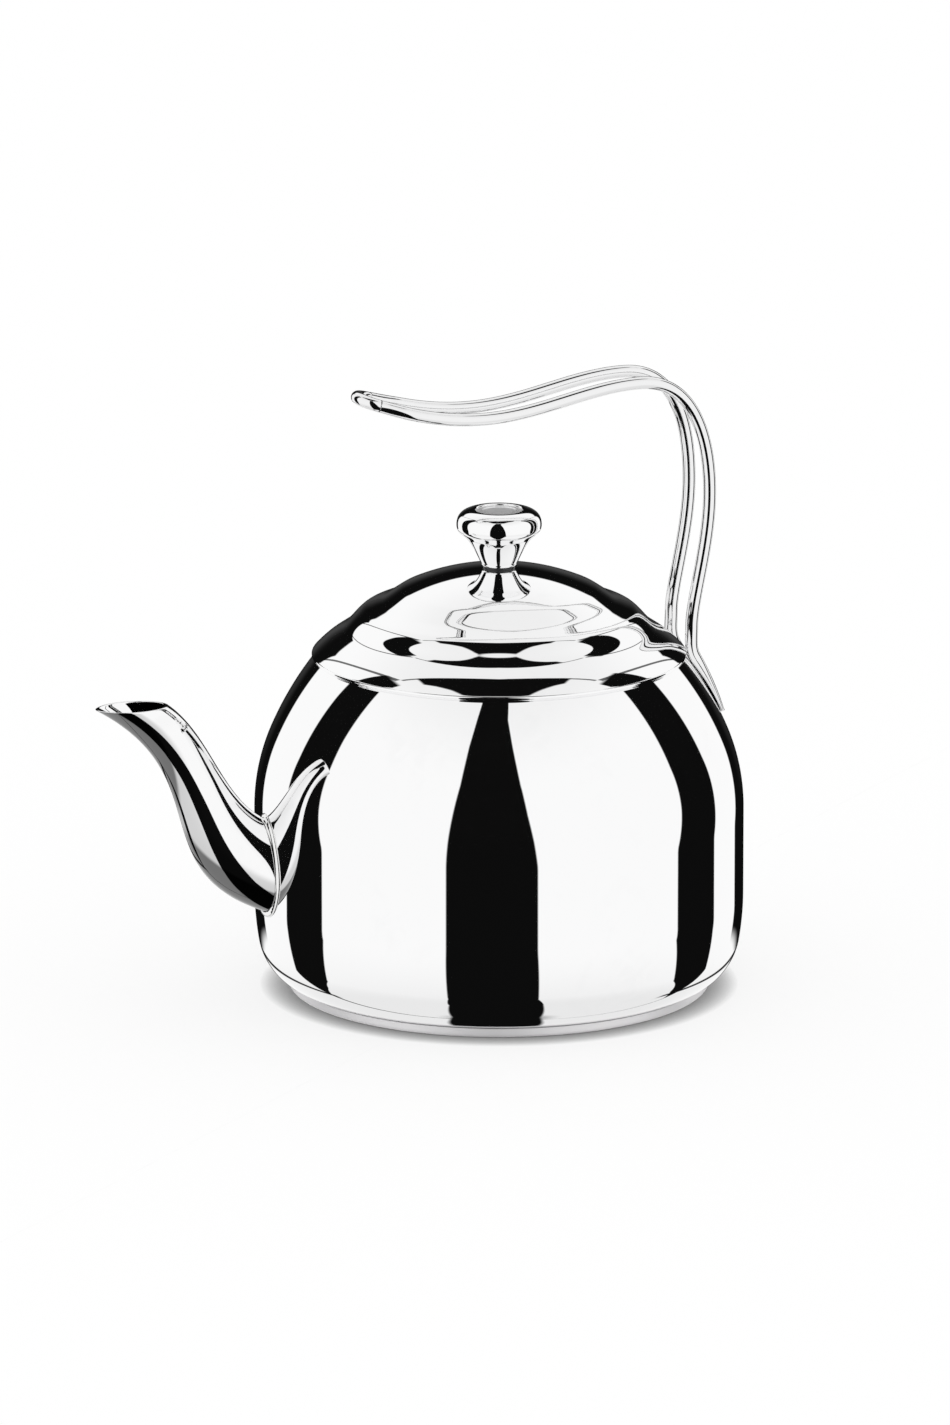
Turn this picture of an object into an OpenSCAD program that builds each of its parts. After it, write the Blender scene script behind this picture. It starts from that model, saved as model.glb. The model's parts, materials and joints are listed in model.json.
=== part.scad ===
// Stove-top gooseneck kettle in polished stainless steel. Millimetres, +Z up.
// The origin is the centre of the base's underside. The spout points to -X, and the handle
// rises from the shoulder at +X and reaches forward over the lid.

/* [Body] */
// Widest diameter of the body
body_d = 200; // [190:1:220]
// Sheet thickness of the body, the spout and the lid
wall = 0.8; // [0.6:0.1:1.1]
// Height of the upright band between the lower and the upper curve
upright_h = 35.4; // [25:0.2:60]
// Radius of the upper curve where it leaves the upright band
shoulder_r = 81.5; // [75:0.5:90]
// Turn of that curve, in degrees, before it eases into the crown
shoulder_turn = 23.2; // [20:0.1:26]
// Radius of the flatter crown around the mouth
crown_r = 139.5; // [130:0.5:150]
// Clear diameter of the mouth
mouth_d = 136; // [130:0.5:140]
// Radius of the bend that turns the crown down into the mouth
lip_r = 2; // [1.5:0.1:3]
// Depth of the turned-down lip
lip_h = 5; // [3:0.5:9]

/* [Base] */
// Outer diameter of the base cup
base_d = 172.4; // [166:0.2:176]
// Height of the base cup, which is the height of the seam under the body
base_h = 4.5; // [3.5:0.1:7]
// Sheet thickness of the base cup
cup_wall = 0.7; // [0.5:0.1:1]
// Radius of the base cup's lower edge
cup_edge_r = 1.6; // [1:0.1:2.5]

/* [Spout] */
// Distance from the kettle's axis to the tip of the spout
spout_reach = 172; // [160:1:190]
// Height of the level mouth of the spout
spout_z = 128.5; // [118:0.5:138]
// Length of that mouth from the tip to its rear edge
spout_mouth_len = 30.6; // [26:0.2:36]
// Width of that mouth
spout_mouth_w = 19; // [15:0.5:24]
// Width of the throat, the narrowest place
throat_w = 18; // [14:0.5:22]
// Width of the root on the body
root_w = 27; // [23:0.5:32]
// Height of the lowest point of the root
root_low = 38.2; // [34:0.2:44]
// Height of the highest point of the root
root_high = 77; // [72:0.2:84]
// Width of the weld bead around the root
bead_w = 2; // [1.4:0.1:2.6]

/* [Handle] */
// Diameter of the handle's round rod
rod_d = 5.15; // [4.5:0.05:6]
// Distance between the two rods at the front loop
pitch_front = 15; // [13:0.5:18]
// Distance between the two rods along the grip
pitch_grip = 22; // [18:0.5:26]
// Distance between the two rods down to the feet
pitch_rear = 26; // [22:0.5:32]
// Finger room between the knob and the lowest point of the grip
hand_gap = 38.2; // [32:0.1:60]
// Distance that the front loop reaches past the axis
nose_reach = 60; // [50:1:75]
// Height of the front loop over the lowest point of the grip
nose_rise = 9.8; // [6:0.2:18]
// Height of the rear hump over the lowest point of the grip
hump_rise = 10.2; // [6:0.2:16]
// Distance from the axis to the rearmost part of the rods
rear_reach = 86; // [82:0.5:92]
// Distance along the crown from the lid's hem to the top of the flattened feet
foot_gap = 7.1; // [5:0.1:14]
// Height of the feet's lower ends
foot_z = 110; // [106:0.5:114]
// Thickness of the flattened feet at their ends
foot_t = 2; // [1.4:0.1:3]
// Widest place of the flattened feet
foot_w = 8.4; // [6.5:0.1:10]

/* [Lid] */
// How far the lid reaches past the edge of the mouth, to the outside of its hem
lid_lap = 8.4; // [7:0.1:11]
// Radius of the rolled hem
hem_r = 0.85; // [0.82:0.01:1.2]
// Radius of the brim's outward bow
brim_bow = 40; // [30:1:60]
// Turn of that bow from the inner part of the brim to the hem, in degrees
brim_turn = 12; // [8:0.5:16]
// Width of the straight inner part of the brim, measured level
brim_run = 3.65; // [3:0.05:6]
// Width of the step from the brim to the middle tier
mid_step_run = 8.55; // [7:0.05:10]
// Fall of that step, in degrees
mid_step_fall = 49.2; // [46:0.2:55]
// Width of the middle tier's top
mid_run = 12.2; // [11:0.05:14]
// Fall of the middle tier's top, in degrees
mid_fall = 22; // [18:0.5:26]
// Width of the step from the middle tier to the dome
top_step_run = 2.9; // [2:0.05:4]
// Fall of that step, in degrees
top_step_fall = 41; // [36:0.5:46]
// Fall of the dome at its edge, in degrees
dome_fall = 24.5; // [20:0.5:28]
// Depth of the ring under the lid that locates it in the mouth
ring_h = 13; // [10:0.5:18]

/* [Knob] */
// Widest diameter of the knob
knob_d = 34.7; // [30:0.1:40]
// Height of the knob
head_h = 23.4; // [20:0.2:30]
// Diameter of the knob at its waist
waist_d = 14.9; // [13:0.1:17]
// Thickness of the dark spacer between the lid and the knob
spacer_t = 0.9; // [0.6:0.1:1.5]
// Diameter of the plain disc set in the knob's top
cap_d = 19; // [15:0.2:21]
// Depth of that disc's place, which is its thickness and a little more
cap_depth = 1.6; // [1.3:0.1:2.4]
// Diameter of the fixing screw
screw_d = 4; // [3:0.5:5]

/* [Fits] */
// Gap between the lid's hem and the crown that it rests on
seat_gap = 0.3; // [0.2:0.05:0.5]
// Gap between the locating ring and the lip of the mouth
ring_gap = 0.6; // [0.4:0.1:1]
// Height of the brim's outer face over the lip of the mouth
lip_room = 1.8; // [1.6:0.1:2.6]
// Gap left for the weld or the press fit between fixed pieces
joint_gap = 0.05; // [0.02:0.01:0.08]
// Room between the rods and the lid on its way up
lift_gap = 0.6; // [0.4:0.1:1.5]
// Clearance of the screw in the holes that it passes
screw_gap = 0.3; // [0.15:0.05:0.5]

/* [Hidden] */
$fn = 96;

// ---- small geometry helpers -------------------------------------------------------------

function mix(a, b, t) = a + (b - a) * t;
function unit(v) = v / norm(v);
function polar(r, a) = r * [cos(a), sin(a)];
function smooth(t) = let (s = max(0, min(1, t))) s * s * (3 - 2 * s);
function reverse(p) = [for (i = [len(p) - 1:-1:0]) p[i]];

// Points of an arc, both ends included
function arc(c, r, a0, a1, n) = [for (i = [0:n]) c + polar(r, mix(a0, a1, i / n))];

// Point at t on the Bezier curve with any number of control points
function bezier(p, t) =
    len(p) == 1 ? p[0] : bezier([for (i = [0:len(p) - 2]) mix(p[i], p[i + 1], t)], t);

// Arc that rounds the corner b of the line a, b, c
function fillet(a, b, c, r, n) =
    let (u = unit(a - b), v = unit(c - b), half = acos(u * v) / 2,
         centre = b + unit(u + v) * r / sin(half),
         p = b + u * r / tan(half) - centre, q = b + v * r / tan(half) - centre,
         a0 = atan2(p.y, p.x), a1 = atan2(q.y, q.x),
         turn = a1 - a0 > 180 ? a1 - a0 - 360 : a1 - a0 < -180 ? a1 - a0 + 360 : a1 - a0)
    arc(centre, r, a0, a0 + turn, n);

// Point that lies run further in than p, up a slope of the given fall
function inward(p, run, fall) = p + run * [-1, tan(fall)];

// The same path, moved to its left by t: the other face of a sheet
function sheet(p, t) = [for (i = [0:len(p) - 1])
    let (d = unit(p[min(i + 1, len(p) - 1)] - p[max(i - 1, 0)])) p[i] + t * [-d.y, d.x]];

// ---- body outline, as radius and height -------------------------------------------------

body_r = body_d / 2;
mouth_r = mouth_d / 2;
base_r = base_d / 2;
// Radius and turn of the long curve that leads from the upright band to the lower corner
flank_r = 116;
flank_turn = 9.7;
// Normal of the outline where the corner meets the tight turn over the seam
corner_end = 57.5;
// Radius of that tight turn, and the step that the body stands out over the base cup
seam_r = 4;
seam_step = 0.4;

flat_r = base_r + seam_step;
corner_x = flat_r + seam_r * cos(corner_end);
corner_z = base_h + seam_r * (1 - sin(corner_end));
corner_r = (body_r - corner_x - flank_r * (1 - cos(flank_turn)))
    / (cos(flank_turn) - cos(corner_end));
upright_z = corner_z + corner_r * (sin(corner_end) - sin(flank_turn))
    + flank_r * sin(flank_turn);
shoulder_z = upright_z + upright_h;

flank_c = [body_r - flank_r, upright_z];
corner_c = flank_c + polar(flank_r - corner_r, -flank_turn);
shoulder_c = [body_r - shoulder_r, shoulder_z];
crown_c = shoulder_c + polar(shoulder_r - crown_r, shoulder_turn);
lip_x = mouth_r + lip_r;
lip_a = acos((lip_x - crown_c.x) / (crown_r - lip_r));
lip_c = crown_c + polar(crown_r - lip_r, lip_a);
lip_top = lip_c.y + lip_r;
lip_end = lip_c.y - lip_h;

body_outer = concat(
    [[0, base_h]],
    arc([flat_r, base_h + seam_r], seam_r, -90, -corner_end, 4),
    arc(corner_c, corner_r, -corner_end + 4, -flank_turn, 11),
    arc(flank_c, flank_r, -flank_turn * 3 / 4, 0, 3),
    arc(shoulder_c, shoulder_r, 0, shoulder_turn, 8),
    arc(crown_c, crown_r, shoulder_turn + 2, lip_a, 7),
    arc(lip_c, lip_r, lip_a + 20, 180, 7),
    [[mouth_r, lip_end]]);
body_inner = sheet(body_outer, wall);

// Outer radius of the body at height z, from the flank to the crown
function body_x(z) =
    z < corner_c.y - corner_r * sin(flank_turn)
        ? corner_c.x + sqrt(pow(corner_r, 2) - pow(z - corner_c.y, 2))
    : z < upright_z ? flank_c.x + sqrt(pow(flank_r, 2) - pow(z - upright_z, 2))
    : z < shoulder_z ? body_r
    : z < shoulder_c.y + shoulder_r * sin(shoulder_turn)
        ? shoulder_c.x + sqrt(pow(shoulder_r, 2) - pow(z - shoulder_z, 2))
    : crown_c.x + sqrt(pow(crown_r, 2) - pow(z - crown_c.y, 2));

// ---- body and base ----------------------------------------------------------------------

// The way from the body into the spout is a slot with round ends, and the spout's root
// overlaps it at its sides, its sill and its head
port_side = 4.5;
port_sill = 5;
port_head = 8;
port_depth = 30;
port_w = root_w - 2 * port_side;
port_low = root_low + port_sill + port_w / 2;
port_high = root_high - port_head - port_w / 2;

module body_shell() {
    color("silver")
    difference() {
        rotate_extrude() polygon(concat(body_outer, reverse(body_inner)));
        spout_port();
    }
}

module spout_port() {
    reach = body_r + port_depth / 6;
    for (z = [port_low, port_high])
        translate([-reach, 0, z]) rotate([0, 90, 0]) cylinder(h = port_depth, d = port_w);
    translate([-reach, -port_w / 2, port_low])
        cube([port_depth, port_w, port_high - port_low]);
}

// Aluminium disc that spreads the heat, closed in between the body and the base cup
module base_core() {
    color("lightgray")
    translate([0, 0, cup_wall])
        cylinder(h = base_h - cup_wall, r = base_r - cup_wall - joint_gap);
}

module base_cup() {
    inner_r = base_r - cup_wall;
    outline = concat(
        [[0, 0]],
        arc([base_r - cup_edge_r, cup_edge_r], cup_edge_r, -90, 0, 6),
        [[base_r, base_h], [inner_r, base_h], [inner_r, cup_wall], [0, cup_wall]]);
    color("gainsboro") rotate_extrude() polygon(outline);
}

// ---- spout ------------------------------------------------------------------------------

// The spout is a loft between two rails in the XZ plane, with an oval across each chord.
spout_steps = 26;
spout_sides = 36;
weld_sides = 48;
root_h = root_high - root_low;
rise_low = spout_z - root_low;
rise_high = spout_z - root_high;
rear_x = spout_reach - spout_mouth_len;
run_low = spout_reach - body_x(root_low);
run_high = rear_x - body_x(root_high);

lower_rail = [[-body_x(root_low), root_low],
              [-body_x(root_low) - 0.74 * run_low, root_low + 0.225 * rise_low],
              [-body_x(root_low) - 0.25 * run_low, root_low + 0.65 * rise_low],
              [-spout_reach, spout_z]];
upper_rail = [[-body_x(root_high), root_high],
              [-body_x(root_high) - 0.46 * run_high, root_high + 0.21 * rise_high],
              [-body_x(root_high) - 0.555 * run_high, root_high + 0.73 * rise_high],
              [-rear_x, spout_z]];

// Full width of the spout at t: root, belly, throat and mouth
function spout_w(t) =
    bezier([root_w, root_w + 2, throat_w + 3, throat_w - 3, throat_w - 1, spout_mouth_w], t);

// How far the section at t leans to stay on the round body: all of it at the root
function hug(t) = pow(max(0, 1 - t / 0.35), 2);

// Narrower towards the top at the root, and an even oval from the throat on
function egg(t, a) = 1 - 0.16 * (1 - smooth(t / 0.5)) * cos(a);

// The mouth is drawn to a blunt point at its tip
function beak(t, a) = 1 - 0.3 * smooth((t - 0.72) / 0.28) * pow(max(0, -cos(a)), 3);

// Point at t along the spout and angle a around it, with the skin moved in by inset
function spout_point(t, a, inset) =
    let (low = bezier(lower_rail, t), high = bezier(upper_rail, t),
         mid = (low + high) / 2, chord = unit(high - low), half = norm(high - low) / 2,
         ahead = (bezier(lower_rail, min(1, t + 0.02)) + bezier(upper_rail, min(1, t + 0.02))) / 2,
         back = (bezier(lower_rail, max(0, t - 0.02)) + bezier(upper_rail, max(0, t - 0.02))) / 2,
         run = unit(ahead - back),
         slant = max(0.5, abs(chord.x * run.y - chord.y * run.x)),
         p = mid + chord * (half - inset / slant) * cos(a),
         y = (spout_w(t) / 2 - inset) * sin(a) * egg(t, a) * beak(t, a),
         root = bezier(lower_rail, 0) + (bezier(upper_rail, 0) - bezier(lower_rail, 0))
                * (cos(a) * (1 - 2 * inset / root_h) + 1) / 2,
         lean = -sqrt(pow(body_x(root.y), 2) - y * y) - joint_gap - root.x)
    [p.x + lean * hug(t), y, p.y];

function spout_ring(t, inset) =
    [for (k = [0:spout_sides - 1]) spout_point(t, 360 * k / spout_sides, inset)];

module spout() {
    color("silver")
    closed_loop(concat([for (i = [0:spout_steps]) spout_ring(i / spout_steps, wall)],
                       [for (i = [spout_steps:-1:0]) spout_ring(i / spout_steps, 0)]));
}

// Point of the weld bead at angle a around the root: out from the spout's skin, off the body
function bead_point(a, out, off) =
    let (p = spout_point(0, a, -out))
    [-sqrt(pow(body_x(p.z), 2) - p.y * p.y) - off, p.y, p.z];

// Bead around the root: a low ridge between the body and the spout's skin
module spout_weld() {
    ridge = bead_w * 0.5;
    // The spout widens as it leaves the body, so the ridge's inner side leans out with it
    color("silver") closed_loop([for (k = [0:weld_sides - 1]) let (a = 360 * k / weld_sides)
        [bead_point(a, bead_w * 0.1, joint_gap), bead_point(a, bead_w, joint_gap),
         bead_point(a, bead_w * 0.9, ridge * 0.6), bead_point(a, bead_w * 0.66, ridge),
         bead_point(a, bead_w * 0.42, ridge)]]);
}

// Ring-shaped solid through a closed row of sections
module closed_loop(rings) {
    n = len(rings[0]);
    m = len(rings);
    polyhedron([for (r = rings) for (p = r) p],
        [for (i = [0:m - 1]) for (k = [0:n - 1])
            let (j = (i + 1) % m, l = (k + 1) % n)
            for (f = [[i * n + k, i * n + l, j * n + l], [i * n + k, j * n + l, j * n + k]]) f],
        convexity = 8);
}

// ---- lid outline, as radius and height --------------------------------------------------

// Radii of the roundings at the tiers' edges and at the feet of the steps
dome_round = 13.6;
top_foot_round = 9;
mid_round = 14;
mid_foot_round = 2.4;

lid_r = mouth_r + lid_lap;
hem_x = lid_r - hem_r;
hem_a = acos((hem_x - crown_c.x) / (crown_r + hem_r + seat_gap));
hem_z = crown_c.y + (crown_r + hem_r + seat_gap) * sin(hem_a);
hem_c = [hem_x, hem_z];
hem_off = hem_r * 0.96;
lid_hole_r = screw_d / 2 + screw_gap;

// The brim rises just enough to pass over the lip, and each tier stands on the one before.
// A face that falls by an angle has its normal at 90 degrees less that angle.
brim_rise = lip_top + lip_room - hem_z - polar(hem_off, 45).y;
brim_mean = atan(brim_rise / (hem_x + polar(hem_off, 45).x - lip_x));
brim_fall = brim_mean - brim_turn / 2;
rim_fall = brim_mean + brim_turn / 2;
hem_join = hem_c + polar(hem_off, 90 - rim_fall);
bow_c = hem_join - polar(brim_bow, 90 - rim_fall);
brim_in = bow_c + polar(brim_bow, 90 - brim_fall);
mid_foot = inward(brim_in, brim_run, brim_fall);
mid_edge = inward(mid_foot, mid_step_run, mid_step_fall);
top_foot = inward(mid_edge, mid_run, mid_fall);
top_edge = inward(top_foot, top_step_run, top_step_fall);
round_c = top_edge - polar(dome_round, 90 - top_step_fall);
dome_edge = round_c + polar(dome_round, 90 - dome_fall);
dome_r = dome_edge.x / sin(dome_fall);
dome_z = dome_edge.y - dome_r * cos(dome_fall);
lid_top = dome_z + dome_r;

// Height of the dome's outer face at radius r, and that of its underside
function dome_at(r) = dome_z + sqrt(dome_r * dome_r - r * r);
function dome_under(r) = dome_z + sqrt(pow(dome_r - wall, 2) - r * r);

lid_outer = concat(
    arc([0, dome_z], dome_r, 90 - asin(lid_hole_r / dome_r), 90 - dome_fall, 10),
    arc(round_c, dome_round, 90 - dome_fall - 3, 90 - top_step_fall, 4),
    fillet(top_edge, top_foot, mid_edge, top_foot_round, 4),
    fillet(top_foot, mid_edge, mid_foot, mid_round, 8),
    fillet(mid_edge, mid_foot, brim_in, mid_foot_round, 4),
    arc(bow_c, brim_bow, 90 - brim_fall, 90 - rim_fall, 6));
lid_inner = sheet(lid_outer, -wall);
// The hem's curl runs from the outer face of the brim round to its inner face
hem_curl = arc(hem_c, hem_r, 90 - rim_fall + acos(hem_off / hem_r),
    90 - rim_fall + acos((hem_off - wall) / hem_r) - 360, 20);

// Height of the lid's underside at radius r
function lid_under(r) = lookup(r, lid_inner);

module lid_shell() {
    last = len(lid_outer) - 2;
    color("silver")
    rotate_extrude()
        polygon(concat([for (i = [0:last]) lid_outer[i]], hem_curl,
            [for (i = [last:-1:0]) lid_inner[i]]));
}

// Ring welded under the lid, which drops into the mouth and keeps the lid in place
module lid_ring() {
    outer_r = mouth_r - ring_gap;
    inner_r = outer_r - wall;
    low = lip_top - ring_h;
    color("gainsboro")
    rotate_extrude() polygon([
        [inner_r, lid_under(inner_r) - joint_gap], [inner_r, low], [outer_r - wall / 2, low],
        [outer_r, low + wall], [outer_r, lid_under(outer_r) - joint_gap]]);
}

// ---- knob -------------------------------------------------------------------------------

waist_r = waist_d / 2;
bore_r = screw_d / 2 + screw_gap;
spacer_r = waist_r - 0.9;
head_z = dome_at(spacer_r) + joint_gap + spacer_t;
knob_top = head_z + head_h;
tap_r = screw_d / 2 + joint_gap;
tap_h = head_h * 0.4;
washer_t = 0.8;
washer_r = screw_d * 1.7;

// Heat-break washer that shows as a dark line under the knob, and follows the dome below
module knob_spacer() {
    color("dimgray")
    rotate_extrude() polygon([
        [bore_r, dome_at(bore_r) + joint_gap], [spacer_r, dome_at(spacer_r) + joint_gap],
        [spacer_r, head_z], [bore_r, head_z]]);
}

// Point of the knob at share r of its widest radius and share h of its height
function on_knob(r, h) = [r * knob_d / 2, head_z + h * head_h];

module knob_head() {
    cap_r = cap_d / 2;
    foot_r = 1.2;
    hip = on_knob(0.772, 0.5);
    side = on_knob(1, 0.726);
    bottom = arc([waist_r - foot_r, head_z + foot_r], foot_r, -90, -10, 4);
    stem = [for (i = [0:9]) bezier([[waist_r, head_z + foot_r], on_knob(0.507, 0.16),
        on_knob(0.594, 0.35), hip], i / 9)];
    brow = [for (i = [1:10]) bezier([hip, on_knob(0.9, 0.59), on_knob(1, 0.615), side], i / 10)];
    crest = [for (i = [1:10]) bezier([side, on_knob(1.004, 0.863), on_knob(0.91, 0.98),
        [cap_r + 1.4, knob_top]], i / 10)];
    place = [[cap_r + 0.4, knob_top - 0.15], [cap_r, knob_top - 0.6],
             [cap_r, knob_top - cap_depth], [0, knob_top - cap_depth]];
    tap = [[0, head_z + tap_h], [tap_r, head_z + tap_h], [tap_r, head_z]];
    color("silver")
    rotate_extrude() polygon(concat(bottom, stem, brow, crest, place, tap));
}

// Plain disc in the top of the knob
module knob_cap() {
    t = cap_depth - 0.5;
    r = cap_d / 2 - joint_gap;
    z = knob_top - cap_depth;
    color("gainsboro")
    rotate_extrude() polygon([[0, z], [r, z], [r, z + t - 0.3], [r - 0.3, z + t],
        [r - 2.2, z + t], [r - 2.6, z + t - 0.25], [0, z + t - 0.25]]);
}

// Washer and pan-head screw under the lid; the screw runs up into the knob
washer_z = dome_under(washer_r) - joint_gap - washer_t;

module knob_screw() {
    head_r = screw_d * 0.95;
    head_t = screw_d * 0.6;
    slot_w = screw_d * 0.2;
    color("darkgray") difference() {
        union() {
            translate([0, 0, washer_z - head_t]) cylinder(h = head_t, r = head_r);
            translate([0, 0, washer_z])
                cylinder(h = head_z + tap_h - 1 - washer_z, r = screw_d / 2);
        }
        for (a = [0, 90]) rotate(a) translate([-head_r * 0.55, -slot_w / 2, washer_z - head_t * 1.5])
            cube([head_r * 1.1, slot_w, head_t]);
    }
}

module knob_washer() {
    color("gainsboro")
    translate([0, 0, washer_z]) difference() {
        cylinder(h = washer_t, r = washer_r);
        translate([0, 0, -1]) cylinder(h = washer_t + 2, r = screw_d / 2 + screw_gap / 2);
    }
}

// ---- handle -----------------------------------------------------------------------------

// One round rod bent into a long loop. Its side view is a chain of curves in the XZ plane,
// and its two legs drift apart from the front loop to the feet.
rod_r = rod_d / 2;
rod_sides = 14;
grip_z = knob_top + hand_gap + rod_r;
hump_z = grip_z + hump_rise;
loop_r = pitch_front / 2;
leg_y = pitch_rear / 2;

// Feet: the rod's middle line runs at half its thickness over the crown
foot_end_a = asin((foot_z - crown_c.y) / crown_r);
foot_top_a = hem_a - foot_gap / crown_r * 180 / PI;
function foot_half(u) = mix(rod_r, foot_t / 2, min(1, u * 1.05));
function foot_half_w(u) =
    mix(rod_r, foot_w / 2, smooth(u / 0.55)) * sqrt(max(0.02, 1 - pow(max(0, u - 0.62) / 0.385, 2)));
function foot_mid(u) =
    let (p = crown_c + polar(crown_r + foot_half(u) + joint_gap, mix(foot_top_a, foot_end_a, u)))
    [sqrt(p.x * p.x - leg_y * leg_y), p.y];

// The closest place to the lid, where the rods leave room for it to lift out
neck_rise = 8.7;
neck_z = hem_z + neck_rise;
neck_x = sqrt(pow(lid_r + lift_gap + rod_r, 2) - leg_y * leg_y);
foot_start = foot_mid(0);
foot_dir = unit(foot_start - foot_mid(0.04));

hump_x = 0.665 * rear_reach;
bend_z = mix(hump_z, neck_z, 0.46);
grip = [[-nose_reach, grip_z + nose_rise],
        [-0.55 * nose_reach, grip_z + 0.12 * nose_rise],
        [0, grip_z - hump_rise],
        [0.39 * hump_x, hump_z],
        [hump_x, hump_z]];
bend = [[hump_x, hump_z], [mix(hump_x, rear_reach, 0.75), hump_z],
        [rear_reach, mix(hump_z, bend_z, 0.49)], [rear_reach, bend_z]];
drop = [[rear_reach, bend_z], [rear_reach, mix(bend_z, neck_z, 0.4)],
        [neck_x, mix(bend_z, neck_z, 0.79)], [neck_x, neck_z]];
lead = [[neck_x, neck_z], [neck_x, neck_z - 5],
        foot_start + foot_dir * 4.5, foot_start];

// Half the distance between the rods along the grip: they part soon after the front loop
function half_pitch(t) = mix(loop_r, pitch_grip / 2, smooth((t - 0.03) / 0.16));

// One leg from the loop to the foot: its middle line, and how far down the foot it is
leg = concat(
    [for (i = [2:26]) let (p = bezier(grip, i / 26)) [p.x, half_pitch(i / 26), p.y, 0]],
    [for (i = [1:9]) let (p = bezier(bend, i / 9))
        [p.x, mix(pitch_grip / 2, leg_y, smooth(i / 9)), p.y, 0]],
    [for (i = [1:9]) let (p = bezier(drop, i / 9)) [p.x, leg_y, p.y, 0]],
    [for (i = [1:5]) let (p = bezier(lead, i / 5)) [p.x, leg_y, p.y, 0]],
    [for (i = [1:14]) let (p = foot_mid(i / 14)) [p.x, leg_y, p.y, i / 14]]);

nose_dir = unit(bezier(grip, 0.03) - grip[0]);
loop = [for (i = [0:10]) let (a = 90 + 18 * i, p = grip[0] + nose_dir * loop_r * (1 + cos(a)))
    [p.x, loop_r * sin(a), p.y, 0]];
far_leg = reverse(leg);
near_leg = [for (p = leg) [p[0], -p[1], p[2], p[3]]];
rod_line = concat(far_leg, loop, near_leg);

// The side of the rod that faces away from the lid, at station i. On the feet it is the
// crown's own normal; on the front loop it is square to the loop's plane.
function rod_up(i, run) =
    let (q = rod_line[i], r = norm([q[0], q[1]]))
    q[3] > 0 ? [q[0], q[1], (q[2] - crown_c.y) * r / (r - crown_c.x)]
    : abs(q[1]) < loop_r + 0.01 && q[0] < nose_end ? [nose_dir.y, 0, -nose_dir.x] * -1
    : cross([0, 1, 0], run) * sign(q[1]);
nose_end = grip[0].x + nose_dir.x * loop_r + 0.01;

// Section across the rod at station i: round, and flattened on the crown at the feet
function rod_section(i) =
    let (n = len(rod_line), q = rod_line[i],
         a = rod_line[max(i - 1, 0)], b = rod_line[min(i + 1, n - 1)],
         run = unit([b[0] - a[0], b[1] - a[1], b[2] - a[2]]),
         up = rod_up(i, run), thick = unit(up - run * (up * run)), wide = cross(run, thick),
         ht = q[3] > 0 ? foot_half(q[3]) : rod_r,
         hw = q[3] > 0 ? foot_half_w(q[3]) : rod_r)
    [for (k = [0:rod_sides - 1]) let (c = 360 * k / rod_sides)
        [q[0], q[1], q[2]] + thick * ht * cos(c) + wide * hw * sin(c)];

module handle_rod() {
    rings = [for (i = [0:len(rod_line) - 1]) rod_section(i)];
    color("silver") solid_loft(rings);
}

// Solid through a row of sections with flat ends
module solid_loft(rings) {
    n = len(rings[0]);
    m = len(rings);
    polyhedron([for (r = rings) for (p = r) p],
        concat([[for (k = [0:n - 1]) k]],
            [for (i = [0:m - 2]) for (k = [0:n - 1])
                let (l = (k + 1) % n)
                for (f = [[i * n + k, (i + 1) * n + l, i * n + l],
                          [i * n + k, (i + 1) * n + k, (i + 1) * n + l]]) f],
            [[for (k = [n - 1:-1:0]) (m - 1) * n + k]]),
        convexity = 8);
}

body_shell();
base_core();
base_cup();
spout();
spout_weld();
handle_rod();
lid_shell();
lid_ring();
knob_spacer();
knob_head();
knob_cap();
knob_screw();
knob_washer();
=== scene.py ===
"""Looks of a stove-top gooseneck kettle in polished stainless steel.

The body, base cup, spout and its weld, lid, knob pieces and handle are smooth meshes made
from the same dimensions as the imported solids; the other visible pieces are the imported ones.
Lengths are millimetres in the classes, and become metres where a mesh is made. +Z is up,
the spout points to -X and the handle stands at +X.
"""

import json
import logging
import math
from dataclasses import dataclass
from enum import Enum

import bpy
import numpy as np
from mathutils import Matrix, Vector

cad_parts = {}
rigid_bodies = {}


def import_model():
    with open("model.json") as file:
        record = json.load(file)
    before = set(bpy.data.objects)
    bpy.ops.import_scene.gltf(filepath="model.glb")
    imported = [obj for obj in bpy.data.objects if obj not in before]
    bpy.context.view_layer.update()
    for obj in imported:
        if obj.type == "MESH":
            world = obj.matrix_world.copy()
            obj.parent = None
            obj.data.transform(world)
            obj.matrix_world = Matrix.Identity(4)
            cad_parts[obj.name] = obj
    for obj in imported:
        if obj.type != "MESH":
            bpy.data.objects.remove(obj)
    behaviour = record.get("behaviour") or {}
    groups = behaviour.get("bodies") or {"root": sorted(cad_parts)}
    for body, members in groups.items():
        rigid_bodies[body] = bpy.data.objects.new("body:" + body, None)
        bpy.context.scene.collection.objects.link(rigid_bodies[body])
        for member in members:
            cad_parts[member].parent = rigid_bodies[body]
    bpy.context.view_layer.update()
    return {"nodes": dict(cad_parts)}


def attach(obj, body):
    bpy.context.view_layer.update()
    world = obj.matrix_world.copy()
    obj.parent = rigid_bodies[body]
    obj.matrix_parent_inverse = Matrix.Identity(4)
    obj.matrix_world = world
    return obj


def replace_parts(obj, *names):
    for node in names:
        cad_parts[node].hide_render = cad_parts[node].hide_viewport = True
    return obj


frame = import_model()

MM = 0.001
LONGEST_RUN = 1.5       # longest step of a turned outline
ON_AXIS = 1e-6          # radius below which a turned ring is one point
SHARP = 32.0            # angle in degrees from which an edge is sharp
BLACK = (0.0, 0.0, 0.0, 1.0)
WHITE = (1.0, 1.0, 1.0, 1.0)
log = logging.getLogger("kettle")

Faces = list[tuple[int, ...]]


# ---- curves in a plane and in space -------------------------------------------------------


def unit(vector: np.ndarray) -> np.ndarray:
    """Vector of length one along the last axis."""
    return vector / np.linalg.norm(vector, axis=-1, keepdims=True)


def sin(degrees: float) -> float:
    """Sine of an angle in degrees."""
    return math.sin(math.radians(degrees))


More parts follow.
